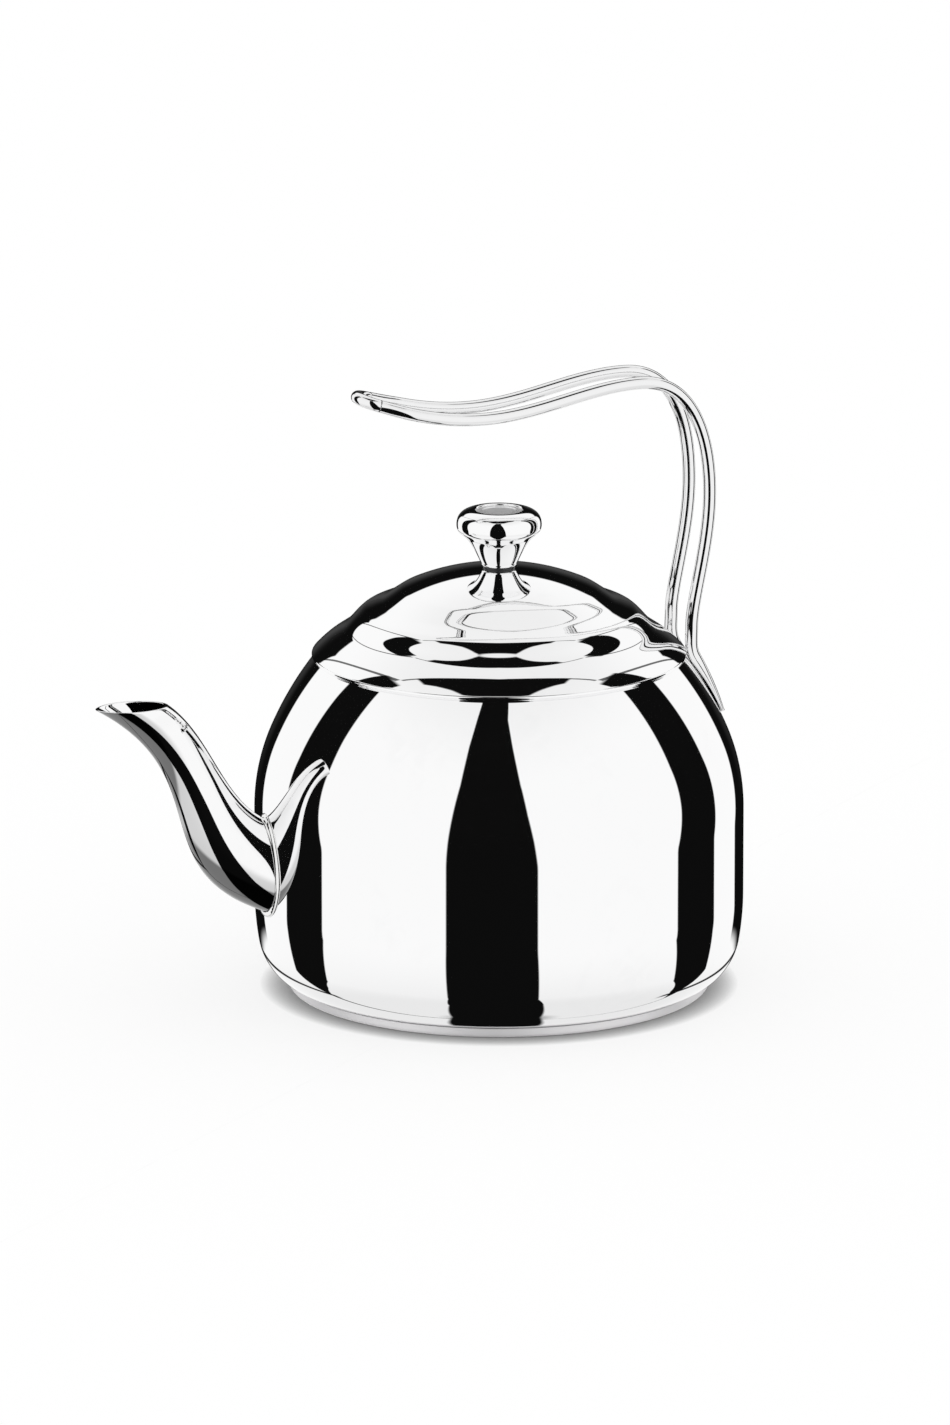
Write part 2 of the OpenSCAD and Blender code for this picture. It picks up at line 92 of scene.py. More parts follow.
def cos(degrees: float) -> float:
    """Cosine of an angle in degrees."""
    return math.cos(math.radians(degrees))


def polar(radius: float, degrees: float) -> np.ndarray:
    """Point at a radius and an angle in degrees from the origin."""
    turn = np.radians(degrees)
    return radius * np.array([np.cos(turn), np.sin(turn)])


def smooth(t: np.ndarray | float) -> np.ndarray | float:
    """Ease from 0 to 1 with level ends."""
    s = np.clip(t, 0.0, 1.0)
    return s * s * (3 - 2 * s)


def mix(a: float, b: float, t: float) -> float:
    """Value at share t of the way from a to b."""
    return a + (b - a) * t


def arc(
    centre: np.ndarray, radius: float, start: float, end: float, step: float = 1.5,
) -> np.ndarray:
    """Points of an arc with both ends.

    Args:
        centre: Centre of the arc.
        radius: Radius of the arc.
        start: First angle in degrees.
        end: Last angle in degrees.
        step: Widest angle between two points in degrees.

    Returns:
        Array of points, one per row.
    """
    count = max(2, math.ceil(abs(end - start) / step)) + 1
    turn = np.radians(np.linspace(start, end, count))
    return np.asarray(centre) + radius * np.stack([np.cos(turn), np.sin(turn)], axis=1)


def bezier(controls: list, t: float) -> np.ndarray:
    """Point on the Bezier curve of any number of control points.

    Args:
        controls: Control points.
        t: Share of the way along the curve.

    Returns:
        The point.
    """
    points = np.asarray(controls, float)
    while len(points) > 1:
        points = points[:-1] + (points[1:] - points[:-1]) * t
    return points[0]


def bezier_path(controls: list, steps: int, skip_first: bool = False) -> np.ndarray:
    """Evenly stepped points of a Bezier curve.

    Args:
        controls: Control points.
        steps: Number of steps.
        skip_first: Leave out the first point, where another curve ends on it.

    Returns:
        Array of points, one per row.
    """
    return np.array([bezier(controls, i / steps) for i in range(int(skip_first), steps + 1)])


def filled(path: np.ndarray, longest: float) -> np.ndarray:
    """The same path with points added along its long straight runs.

    Args:
        path: Points, one per row.
        longest: Longest distance between two points.

    Returns:
        Points, one per row.
    """
    rows = [path[:1]]
    for a, b in zip(path[:-1], path[1:]):
        count = max(1, math.ceil(float(np.linalg.norm(b - a)) / longest))
        rows.append(a + np.outer(np.arange(1, count + 1) / count, b - a))
    return np.vstack(rows)


def sheet(path: np.ndarray, thickness: float) -> np.ndarray:
    """Other face of a sheet.

    Args:
        path: Points of the first face, one per row.
        thickness: How far the other face lies to the left of the path.

    Returns:
        Points, one per row.
    """
    ahead = np.vstack([path[1:], path[-1:]])
    back = np.vstack([path[:1], path[:-1]])
    run = unit(ahead - back)
    return path + thickness * np.stack([-run[:, 1], run[:, 0]], axis=1)


# ---- meshes -------------------------------------------------------------------------------


def enclosed_volume(points: np.ndarray, faces: Faces) -> float:
    """Signed volume inside a closed mesh.

    Args:
        points: Vertices, one per row.
        faces: Vertex numbers of each face.

    Returns:
        The volume, which is negative where the mesh is inside out.
    """
    total = 0.0
    for size in {len(f) for f in faces}:
        rows = np.array([f for f in faces if len(f) == size])
        for k in range(1, size - 1):
            a, b, c = points[rows[:, 0]], points[rows[:, k]], points[rows[:, k + 1]]
            total += float(np.einsum("ij,ij->i", a, np.cross(b, c)).sum()) / 6
    return total


def make_piece(
    name: str, points: np.ndarray, faces: Faces, sharp: float = SHARP,
) -> bpy.types.Object:
    """Closed mesh object with smooth faces and sharp edges where the surface turns.

    Args:
        name: Name of the piece.
        points: Vertices in millimetres, one per row.
        faces: Vertex numbers of each face.
        sharp: Angle in degrees from which an edge is sharp.

    Returns:
        The object, linked to the scene.
    """
    if enclosed_volume(points, faces) < 0:
        faces = [tuple(reversed(f)) for f in faces]
    mesh = bpy.data.meshes.new(name)
    mesh.from_pydata((points * MM).tolist(), [], faces)
    mesh.validate()
    mesh.shade_smooth()
    mesh.set_sharp_from_angle(angle=math.radians(sharp))
    piece = bpy.data.objects.new(name, mesh)
    bpy.context.scene.collection.objects.link(piece)
    return piece


def grid_faces(rows: int, columns: int, closed: bool) -> Faces:
    """Quads between rows of points that each close on themselves.

    Args:
        rows: Number of rows.
        columns: Number of points in a row.
        closed: Join the last row to the first.

    Returns:
        Vertex numbers of each face.
    """
    faces = []
    for i in range(rows if closed else rows - 1):
        a, b = i * columns, (i + 1) % rows * columns
        for k in range(columns):
            m = (k + 1) % columns
            faces.append((a + k, a + m, b + m, b + k))
    return faces


def revolve(name: str, outline: np.ndarray, segments: int) -> bpy.types.Object:
    """Turned piece from a closed outline of radius and height.

    Args:
        name: Name of the piece.
        outline: Radius and height of each point, in order round the section.
        segments: Number of steps round the axis.

    Returns:
        The object.
    """
    turn = np.linspace(0, 2 * math.pi, segments, endpoint=False)
    points, rings, count = [], [], 0
    for radius, height in filled(outline, LONGEST_RUN):
        if radius < ON_AXIS:
            points.append([[0.0, 0.0, height]])
            rings.append([count] * segments)
            count += 1
        else:
            x, y = radius * np.cos(turn), radius * np.sin(turn)
            points.append(np.stack([x, y, np.full(segments, height)], axis=1))
            rings.append(list(range(count, count + segments)))
            count += segments
    faces = []
    for i in range(len(rings)):
        a, b = rings[i], rings[(i + 1) % len(rings)]
        for k in range(segments):
            m = (k + 1) % segments
            face = tuple(dict.fromkeys((a[k], a[m], b[m], b[k])))
            if len(face) > 2:
                faces.append(face)
    return make_piece(name, np.vstack(points), faces)


def loft(
    name: str, rings: list[np.ndarray], closed: bool, sharp: float = SHARP,
) -> bpy.types.Object:
    """Piece through a row of closed sections, either a loop or with flat ends.

    Args:
        name: Name of the piece.
        rings: Sections with the same number of points.
        closed: Join the last section to the first.
        sharp: Angle in degrees from which an edge is sharp.

    Returns:
        The object.
    """
    sides = len(rings[0])
    faces = grid_faces(len(rings), sides, closed)
    if not closed:
        last = (len(rings) - 1) * sides
        faces.append(tuple(range(sides - 1, -1, -1)))
        faces.append(tuple(range(last, last + sides)))
    return make_piece(name, np.vstack(rings), faces, sharp)


def cut_away(piece: bpy.types.Object, cutter: bpy.types.Object) -> None:
    """Cut one mesh out of another and remove the cutter.

    Args:
        piece: The piece that is cut.
        cutter: The shape that is taken out of it.
    """
    cut = piece.modifiers.new("cut", "BOOLEAN")
    cut.operation, cut.solver, cut.object = "DIFFERENCE", "EXACT", cutter
    whole = piece.evaluated_get(bpy.context.evaluated_depsgraph_get())
    made = bpy.data.meshes.new_from_object(whole)
    piece.modifiers.remove(cut)
    piece.data = made
    made.set_sharp_from_angle(angle=math.radians(SHARP))
    bpy.data.objects.remove(cutter)


# ---- materials ----------------------------------------------------------------------------


class NodeBench:
    """Adds and joins the nodes of one tree."""

    # Places of the colour sockets on a Mix node.
    FIRST_COLOUR, SECOND_COLOUR, MIXED_COLOUR = 6, 7, 2

    def __init__(self, tree: bpy.types.NodeTree) -> None:
        """Start from an empty tree."""
        self.tree = tree
        tree.nodes.clear()

    def add(self, kind: str, settings: dict | None = None, **inputs: object) -> bpy.types.Node:
        """Node with its settings and inputs.

        Args:
            kind: Blender's name of the node.
            settings: Attributes of the node itself.
            inputs: Values or sockets by input name, with _ for a space.

        Returns:
            The node.
        """
        node = self.tree.nodes.new(kind)
        for key, value in (settings or {}).items():
            setattr(node, key, value)
        for key, value in inputs.items():
            self.feed(node.inputs[key.replace("_", " ")], value)
        return node

    def feed(self, socket: bpy.types.NodeSocket, value: object) -> None:
        """Set a socket to a value, or join another socket to it.

        Args:
            socket: The socket that is fed.
            value: A plain value, or the socket that it comes from.
        """
        if isinstance(value, bpy.types.NodeSocket):
            self.tree.links.new(value, socket)
        else:
            socket.default_value = value

    def math(self, operation: str, *values: object) -> bpy.types.NodeSocket:
        """Result of a Math node.

        Args:
            operation: Blender's name of the operation.
            values: Up to three values or sockets.

        Returns:
            The result.
        """
        node = self.add("ShaderNodeMath", {"operation": operation})
        for socket, value in zip(node.inputs, values):
            self.feed(socket, value)
        return node.outputs[0]

    def ramp(
        self, value: object, low: float, high: float, to_low: float = 0.0, to_high: float = 1.0,
    ) -> bpy.types.NodeSocket:
        """Value taken smoothly from one range to another and held at its ends.

        Args:
            value: The value or socket.
            low: Start of its range.
            high: End of its range.
            to_low: Result at the start.
            to_high: Result at the end.

        Returns:
            The result.
        """
        node = self.add("ShaderNodeMapRange", {"interpolation_type": "SMOOTHSTEP"},
                        From_Min=low, From_Max=high, To_Min=to_low, To_Max=to_high)
        self.feed(node.inputs["Value"], value)
        return node.outputs["Result"]

    def colour(self, share: object, first: object, second: object) -> bpy.types.NodeSocket:
        """Mix of two colours.

        Args:
            share: Share of the second colour.
            first: Colour at share 0.
            second: Colour at share 1.

        Returns:
            The mixed colour.
        """
        node = self.add("ShaderNodeMix", {"data_type": "RGBA"})
        self.feed(node.inputs["Factor"], share)
        self.feed(node.inputs[self.FIRST_COLOUR], first)
        self.feed(node.inputs[self.SECOND_COLOUR], second)
        return node.outputs[self.MIXED_COLOUR]


class Effects:
    """Shader node groups that several finishes share, each built once."""

    # How much finer wipe marks and hair scratches are than the broad haze, how wide a scratch
    # is, and the range of noise over which each of them sets in.
    WIPE_SCALE, HAIR_SCALE, HAIR_WIDTH = 3.1, 2.3, 0.012
    HAZE_RANGE, WIPE_RANGE, HAIR_RANGE = (0.5, 0.72), (0.35, 0.65), (0.55, 0.7)

    @staticmethod
    def _group(
        name: str, inputs: dict[str, float], outputs: list[str],
    ) -> tuple[bpy.types.NodeTree, NodeBench, bpy.types.Node]:
        """Empty node group with a Vector input, named value inputs and value outputs.

        Args:
            name: Name of the group.
            inputs: Value inputs and what they are by default.
            outputs: Names of the value outputs.

        Returns:
            The group, its bench and its input node.
        """
        tree = bpy.data.node_groups.new(name, "ShaderNodeTree")
        sockets = tree.interface
        sockets.new_socket("Vector", in_out="INPUT", socket_type="NodeSocketVector")
        for label, value in inputs.items():
            socket = sockets.new_socket(label, in_out="INPUT", socket_type="NodeSocketFloat")
            socket.default_value = value
        for label in outputs:
            sockets.new_socket(label, in_out="OUTPUT", socket_type="NodeSocketFloat")
        bench = NodeBench(tree)
        return tree, bench, bench.add("NodeGroupInput")

    @classmethod
    def turned_lines(cls) -> bpy.types.NodeTree:
        """Fine lines that a wheel or a lathe leaves round the kettle's axis.

        Returns:
            The group, which puts out the lines and the broader streaks among them.
        """
        if "turned_lines" in bpy.data.node_groups:
            return bpy.data.node_groups["turned_lines"]
        tree, bench, source = cls._group(
            "turned_lines", {"Fineness": 900.0, "Run": 6.0}, ["Lines", "Streaks"])
        fineness, run = source.outputs["Fineness"], source.outputs["Run"]
        x, y, z = bench.add("ShaderNodeSeparateXYZ", Vector=source.outputs["Vector"]).outputs
        angle = bench.math("ARCTAN2", y, x)
        flat = bench.add("ShaderNodeCombineXYZ", X=x, Y=y)
        radius = bench.add("ShaderNodeVectorMath", {"operation": "LENGTH"})
        bench.feed(radius.inputs[0], flat.outputs[0])
        place = bench.add("ShaderNodeCombineXYZ",
                          X=bench.math("MULTIPLY", bench.math("SINE", angle), run),
                          Y=bench.math("MULTIPLY", radius.outputs["Value"], fineness),
                          Z=bench.math("MULTIPLY", z, fineness)).outputs[0]
        lines = bench.add("ShaderNodeTexNoise",
                          Vector=place, Scale=1.0, Detail=3.0, Roughness=0.6)
        streaks = bench.add("ShaderNodeTexNoise",
                            Vector=place, Scale=0.13, Detail=2.0, Roughness=0.5)
        bench.add("NodeGroupOutput", Lines=lines.outputs[0], Streaks=streaks.outputs[0])
        return tree

    @classmethod
    def handling_marks(cls) -> bpy.types.NodeTree:
        """Soft wipe marks and faint smears left by hands and a cloth.

        Returns:
            The group, which puts out the haze and the hair scratches.
        """
        if "handling_marks" in bpy.data.node_groups:
            return bpy.data.node_groups["handling_marks"]
        tree, bench, source = cls._group(
            "handling_marks", {"Scale": 30.0, "Amount": 1.0}, ["Haze", "Scratches"])
        where, scale, amount = (source.outputs[name] for name in ("Vector", "Scale", "Amount"))
        broad = bench.add("ShaderNodeTexNoise",
                          Vector=where, Scale=scale, Detail=4.0, Roughness=0.62)
        wipe = bench.add("ShaderNodeTexNoise", Vector=where, Detail=2.0, Distortion=1.4,
                         Scale=bench.math("MULTIPLY", scale, cls.WIPE_SCALE))
        haze = bench.math("MULTIPLY", bench.ramp(broad.outputs[0], *cls.HAZE_RANGE),
                          bench.ramp(wipe.outputs[0], *cls.WIPE_RANGE))
        cells = bench.add("ShaderNodeTexVoronoi", {"feature": "DISTANCE_TO_EDGE"}, Vector=where,
                          Scale=bench.math("MULTIPLY", scale, cls.HAIR_SCALE))
        near = bench.ramp(cells.outputs["Distance"], 0.0, cls.HAIR_WIDTH, 1.0, 0.0)
        hair = bench.math("MULTIPLY", near, bench.ramp(wipe.outputs[0], *cls.HAIR_RANGE))
        bench.add("NodeGroupOutput", Haze=bench.math("MULTIPLY", haze, amount),
                  Scratches=bench.math("MULTIPLY", hair, amount))
        return tree


def blank_material(name: str) -> tuple[bpy.types.Material, NodeBench]:
    """New material with an empty node tree.

    Args:
        name: Name of the material.

    Returns:
        The material and the bench for its nodes.
    """
    material = bpy.data.materials.new(name)
    material.use_nodes = True
    return material, NodeBench(material.node_tree)


# Full height of a bump in metres, and how much of the added roughness streaks bring.
BUMP_DISTANCE, STREAK_SHARE = 0.0001, 0.6

# Steps of the painted shade that darkens faces as they turn down: the rise of the normal at which
# a step is whole, the rise at which it starts, and how much it darkens.
PAINTED_SHADE_STEPS = ((-0.12, 0.02, 0.27), (-0.30, -0.24, 0.72))


@dataclass(frozen=True)
class Coat:
    """What every finish has: two tones, a roughness, and marks of handling.

    Args:
        name: Name of the material.
        colour: Colour where it is clean.
        dull: Colour where it is smeared, dusty or worn.
        roughness: Roughness where it is clean.
        spread: Roughness that lines and smears add.
        depth: Depth of the lines or the grain as bump strength.
        fineness: Lines or grains per metre.
        marks: Amount of smears and hair scratches.
        smears: Scale of the smears.
        tint: Share of the smears that shows in the colour.
        metal: How metallic it is.
        painted_underside_shade: How much painted shade darkens the faces that look down at the
            table.
    """

    name: str
    colour: tuple[float, float, float]
    dull: tuple[float, float, float]
    roughness: float
    spread: float
    depth: float
    fineness: float
    marks: float
    smears: float = 30.0
    tint: float = 0.6
    metal: float = 1.0
    painted_underside_shade: float = 0.0

    def build(self) -> bpy.types.Material:
        """Make the material once, and then share it.

        Returns:
            The material.
        """
        if self.name in bpy.data.materials:
            return bpy.data.materials[self.name]
        material, bench = blank_material(self.name)
        where = bench.add("ShaderNodeTexCoord").outputs["Object"]
        handled = bench.add("ShaderNodeGroup", {"node_tree": Effects.handling_marks()},
                            Vector=where, Scale=self.smears, Amount=self.marks)
        haze = handled.outputs["Haze"]
        tone = bench.colour(bench.math("MULTIPLY", haze, self.tint),
                            (*self.colour, 1.0), (*self.dull, 1.0))
        # Painted shade: faces that look down are darkened in the colour.
        if self.painted_underside_shade:
            tone = self.paint_underside_shade(bench, tone)
        height, wear = self.relief(bench, where, handled)
        bump = bench.add("ShaderNodeBump",
                         Strength=self.depth, Distance=BUMP_DISTANCE, Height=height)
        shader = bench.add("ShaderNodeBsdfPrincipled", Base_Color=tone, Metallic=self.metal,
                           Roughness=bench.math("ADD", wear, self.roughness),
                           Normal=bump.outputs[0])
        bench.add("ShaderNodeOutputMaterial", Surface=shader.outputs[0])
        return material

    def paint_underside_shade(self, bench: NodeBench, tone: bpy.types.NodeSocket) -> bpy.types.NodeSocket:
        """Paint shade into the colour of the faces that look down.

        Args:
            bench: Bench of the material.
            tone: Colour of the open surface.

        Returns:
            The colour, with painted shade on faces that look down.
        """
        normal = bench.add("ShaderNodeNewGeometry").outputs["Normal"]
        rise = bench.add("ShaderNodeSeparateXYZ", Vector=normal).outputs[2]
        for low, high, share in PAINTED_SHADE_STEPS:
            shade = bench.math("MULTIPLY", bench.ramp(rise, low, high, 1.0, 0.0),
                               self.painted_underside_shade * share)
            tone = bench.colour(shade, tone, BLACK)
        return tone

    def relief(
        self, bench: NodeBench, where: bpy.types.NodeSocket, handled: bpy.types.Node,
    ) -> tuple[bpy.types.NodeSocket, bpy.types.NodeSocket]:
        """Height and added roughness over the surface, which each kind of finish gives."""
        raise NotImplementedError


class Steel(Coat):
    """A metal, from mirror polish to satin, with fine lines round the kettle's axis."""

    def relief(
        self, bench: NodeBench, where: bpy.types.NodeSocket, handled: bpy.types.Node,
    ) -> tuple[bpy.types.NodeSocket, bpy.types.NodeSocket]:
        """Turned lines with hair scratches among them.

        Args:
            bench: Bench of the material.
            where: Place on the surface.
            handled: Node of the handling marks.

        Returns:
            The height, and the roughness that streaks and smears add.
        """
        turned = bench.add("ShaderNodeGroup", {"node_tree": Effects.turned_lines()},
                           Vector=where, Fineness=self.fineness).outputs
        streaks = bench.math("MULTIPLY", turned["Streaks"], self.spread * STREAK_SHARE)
        smears = bench.math("MULTIPLY", handled.outputs["Haze"], self.spread)
        return (bench.math("SUBTRACT", turned["Lines"], handled.outputs["Scratches"]),
                bench.math("ADD", streaks, smears))


class Resin(Coat):
    """A moulded, slightly matt plastic with a fine grain."""

    def relief(
        self, bench: NodeBench, where: bpy.types.NodeSocket, handled: bpy.types.Node,
    ) -> tuple[bpy.types.NodeSocket, bpy.types.NodeSocket]:
        """Moulded grain, too deep for hair scratches to show.

        Args:
            bench: Bench of the material.
            where: Place on the surface.
            handled: Node of the handling marks.

        Returns:
            The height, and the roughness that smears add.
        """
        grain = bench.add("ShaderNodeTexNoise", Vector=where, Scale=self.fineness, Detail=2.0)
        return grain.outputs[0], bench.math("MULTIPLY", handled.outputs["Haze"], self.spread)


class Finish(Enum):
    """Finishes of the kettle's pieces."""

    MIRROR = Steel("mirror_steel", (0.955, 0.955, 0.957), (0.90, 0.90, 0.905),
                   roughness=0.012, spread=0.02, depth=0.004, fineness=2600.0, marks=0.5)
    ROD = Steel("drawn_rod_steel", (0.88, 0.88, 0.882), (0.78, 0.78, 0.785),
                roughness=0.02, spread=0.03, depth=0.006, fineness=1500.0, marks=0.8)
    SATIN = Steel("satin_steel", (0.78, 0.78, 0.785), (0.70, 0.70, 0.71),
                  roughness=0.22, spread=0.10, depth=0.10, fineness=1900.0, marks=0.6)
    SPUN = Steel("spun_disc_steel", (0.92, 0.92, 0.925), (0.84, 0.84, 0.845),
                 roughness=0.34, spread=0.06, depth=0.05, fineness=3400.0, marks=0.4)
    WELD = Steel("welded_steel", (0.90, 0.90, 0.895), (0.80, 0.78, 0.75),
                 roughness=0.04, spread=0.05, depth=0.02, fineness=1200.0, marks=0.6)
    # The spout's colour has painted shade on its faces that look down.
    SPOUT = Steel("buffed_spout_steel_painted_shade", (0.95, 0.95, 0.952), (0.88, 0.88, 0.885),
                  roughness=0.015, spread=0.03, depth=0.006, fineness=2200.0, marks=0.8,
                  painted_underside_shade=1.0)
    BASE = Steel("matt_base_steel", (0.88, 0.87, 0.88), (0.78, 0.77, 0.78),
                 roughness=0.42, spread=0.12, depth=0.10, fineness=1900.0, marks=0.6,
                 metal=0.35)
    SPACER = Resin("heat_break_resin", (0.016, 0.016, 0.017), (0.05, 0.05, 0.052),
                   roughness=0.42, spread=0.12, depth=0.15, fineness=2200.0, marks=1.0,
                   smears=180.0, tint=1.0, metal=0.0)
    ALUMINIUM = Steel("bare_aluminium", (0.42, 0.42, 0.43), (0.36, 0.36, 0.37),
                      roughness=0.32, spread=0.12, depth=0.15, fineness=1400.0, marks=0.5)


def dress(piece: bpy.types.Object, finish: Finish) -> None:
    """Give a piece one finish all over."""
    piece.data.materials.clear()
    piece.data.materials.append(finish.value.build())


# ---- body and base ------------------------------------------------------------------------


@dataclass
class Body:
    """The drawn body and the cup under it that closes in the heat-spreading disc."""

    diameter: float = 200.0
    wall: float = 0.8
    upright: float = 35.4
    upright_rows: int = 10
    shoulder_r: float = 81.5
    shoulder_turn: float = 23.2
    crown_r: float = 139.5
    mouth_d: float = 136.0
    lip_r: float = 2.0
    lip_h: float = 5.0
    base_d: float = 172.4
    base_h: float = 4.5
    cup_wall: float = 0.7
    cup_edge_r: float = 1.6
    cup_seam: float = 0.7
    cup_middle: float = 40.0
    flank_r: float = 116.0
    flank_turn: float = 9.7
    corner_end: float = 57.5
    seam_r: float = 4.0
    seam_step: float = 0.4
    seam_run: float = 8.0
    root_w: float = 27.0
    root_low: float = 38.2
    root_high: float = 77.0
    port_side: float = 9.0
    port_low: float = 5.0
    port_high: float = 8.0
    port_in: float = 25.0
    port_out: float = 5.0
    segments: int = 288

    def __post_init__(self) -> None:
        """Work out the centres of the outline's arcs."""
        body_r, self.base_r = self.diameter / 2, self.base_d / 2
        self.flat_r = self.base_r + self.seam_step
        end, turn = self.corner_end, self.flank_turn
        corner_x = self.flat_r + self.seam_r * cos(end)
        corner_z = self.base_h + self.seam_r * (1 - sin(end))
        corner_run = body_r - corner_x - self.flank_r * (1 - cos(turn))
        self.corner_r = corner_run / (cos(turn) - cos(end))
        self.upright_z = (corner_z + self.corner_r * (sin(end) - sin(turn))
                          + self.flank_r * sin(turn))
        self.shoulder_z = self.upright_z + self.upright
        self.flank_c = np.array([body_r - self.flank_r, self.upright_z])
        self.corner_c = self.flank_c + polar(self.flank_r - self.corner_r, -turn)
        self.shoulder_c = np.array([body_r - self.shoulder_r, self.shoulder_z])
        self.crown_c = self.shoulder_c + polar(self.shoulder_r - self.crown_r, self.shoulder_turn)
        lip_x, lip_run = self.mouth_d / 2 + self.lip_r, self.crown_r - self.lip_r
        self.lip_a = math.degrees(math.acos((lip_x - self.crown_c[0]) / lip_run))
        self.lip_c = self.crown_c + polar(lip_run, self.lip_a)

    def radius_at(self, z: float) -> float:
        """Outer radius of the body, from the flank to the crown.

        Args:
            z: Height above the table.

        Returns:
            The radius there.
        """
        if z < self.corner_c[1] - self.corner_r * sin(self.flank_turn):
            return self.corner_c[0] + math.sqrt(self.corner_r**2 - (z - self.corner_c[1]) ** 2)
        if z < self.upright_z:
            return self.flank_c[0] + math.sqrt(self.flank_r**2 - (z - self.upright_z) ** 2)
        if z < self.shoulder_z:
            return self.diameter / 2
        if z < self.shoulder_c[1] + self.shoulder_r * sin(self.shoulder_turn):
            return self.shoulder_c[0] + math.sqrt(self.shoulder_r**2 - (z - self.shoulder_z) ** 2)
        return self.crown_c[0] + math.sqrt(self.crown_r**2 - (z - self.crown_c[1]) ** 2)

    def outline(self) -> np.ndarray:
        """Outer face of the body from the centre of its floor to the lip of its mouth.

        Returns:
            Radius and height of each point.
        """
        rise = np.linspace(self.upright_z, self.shoulder_z, self.upright_rows)[1:-1]
        upright = np.stack([np.full(len(rise), self.diameter / 2), rise], axis=1)
        seam_c = [self.flat_r, self.base_h + self.seam_r]
        return np.vstack([
            [[0.0, self.base_h], [self.flat_r - self.seam_run, self.base_h]],
            arc(seam_c, self.seam_r, -90, -self.corner_end, step=5),
            arc(self.corner_c, self.corner_r, -self.corner_end, -self.flank_turn)[1:],
            arc(self.flank_c, self.flank_r, -self.flank_turn, 0, step=1.2)[1:],
            upright,
            arc(self.shoulder_c, self.shoulder_r, 0, self.shoulder_turn, step=1.2),
            arc(self.crown_c, self.crown_r, self.shoulder_turn, self.lip_a, step=1.0)[1:],
            arc(self.lip_c, self.lip_r, self.lip_a, 180, step=9)[1:],
            [[self.mouth_d / 2, self.lip_c[1] - self.lip_h]],
        ])

    def port_cutter(self) -> bpy.types.Object:
        """Slot with round ends for the way from the body into the spout.

        Returns:
            The shape to cut with.
        """
        end_r, skin = (self.root_w - self.port_side) / 2, -self.diameter / 2
        low, high = self.root_low + self.port_low + end_r, self.root_high - self.port_high - end_r
        side = np.vstack([arc([0, high], end_r, 0, 180, step=7.5),
                          arc([0, low], end_r, 180, 360, step=7.5)])
        rings = [np.column_stack([np.full(len(side), x), side])
                 for x in (skin - self.port_out, skin + self.port_in)]
        return loft("port_cutter", rings, closed=False)

    def build(self) -> None:
        """Make the body's shell and the base cup, and dress them and the disc between them."""
        outer = self.outline()
        section = np.vstack([outer, sheet(outer, self.wall)[::-1]])
        shell = revolve("body", section, self.segments)
        cut_away(shell, self.port_cutter())
        dress(shell, Finish.MIRROR)
        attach(shell, "kettle"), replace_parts(shell, "body_shell"), shell
        log.info("body: %d faces", len(shell.data.polygons))

        edge_c = [self.base_r - self.cup_edge_r, self.cup_edge_r]
        inner, top = self.base_r - self.cup_wall, self.base_h - self.cup_seam
        cup = revolve("base", np.vstack([
            [[0.0, 0.0], [self.cup_middle, 0.0]],
            arc(edge_c, self.cup_edge_r, -90, 0, step=9),
            [[self.base_r, top], [inner, top], [inner, self.cup_wall], [0.0, self.cup_wall]],
        ]), self.segments)
        dress(cup, Finish.BASE)
        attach(cup, "kettle"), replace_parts(cup, "base_cup"), cup
        dress(frame["nodes"]["base_core"], Finish.ALUMINIUM)
        log.info("base: %d faces", len(cup.data.polygons))


# ---- spout --------------------------------------------------------------------------------


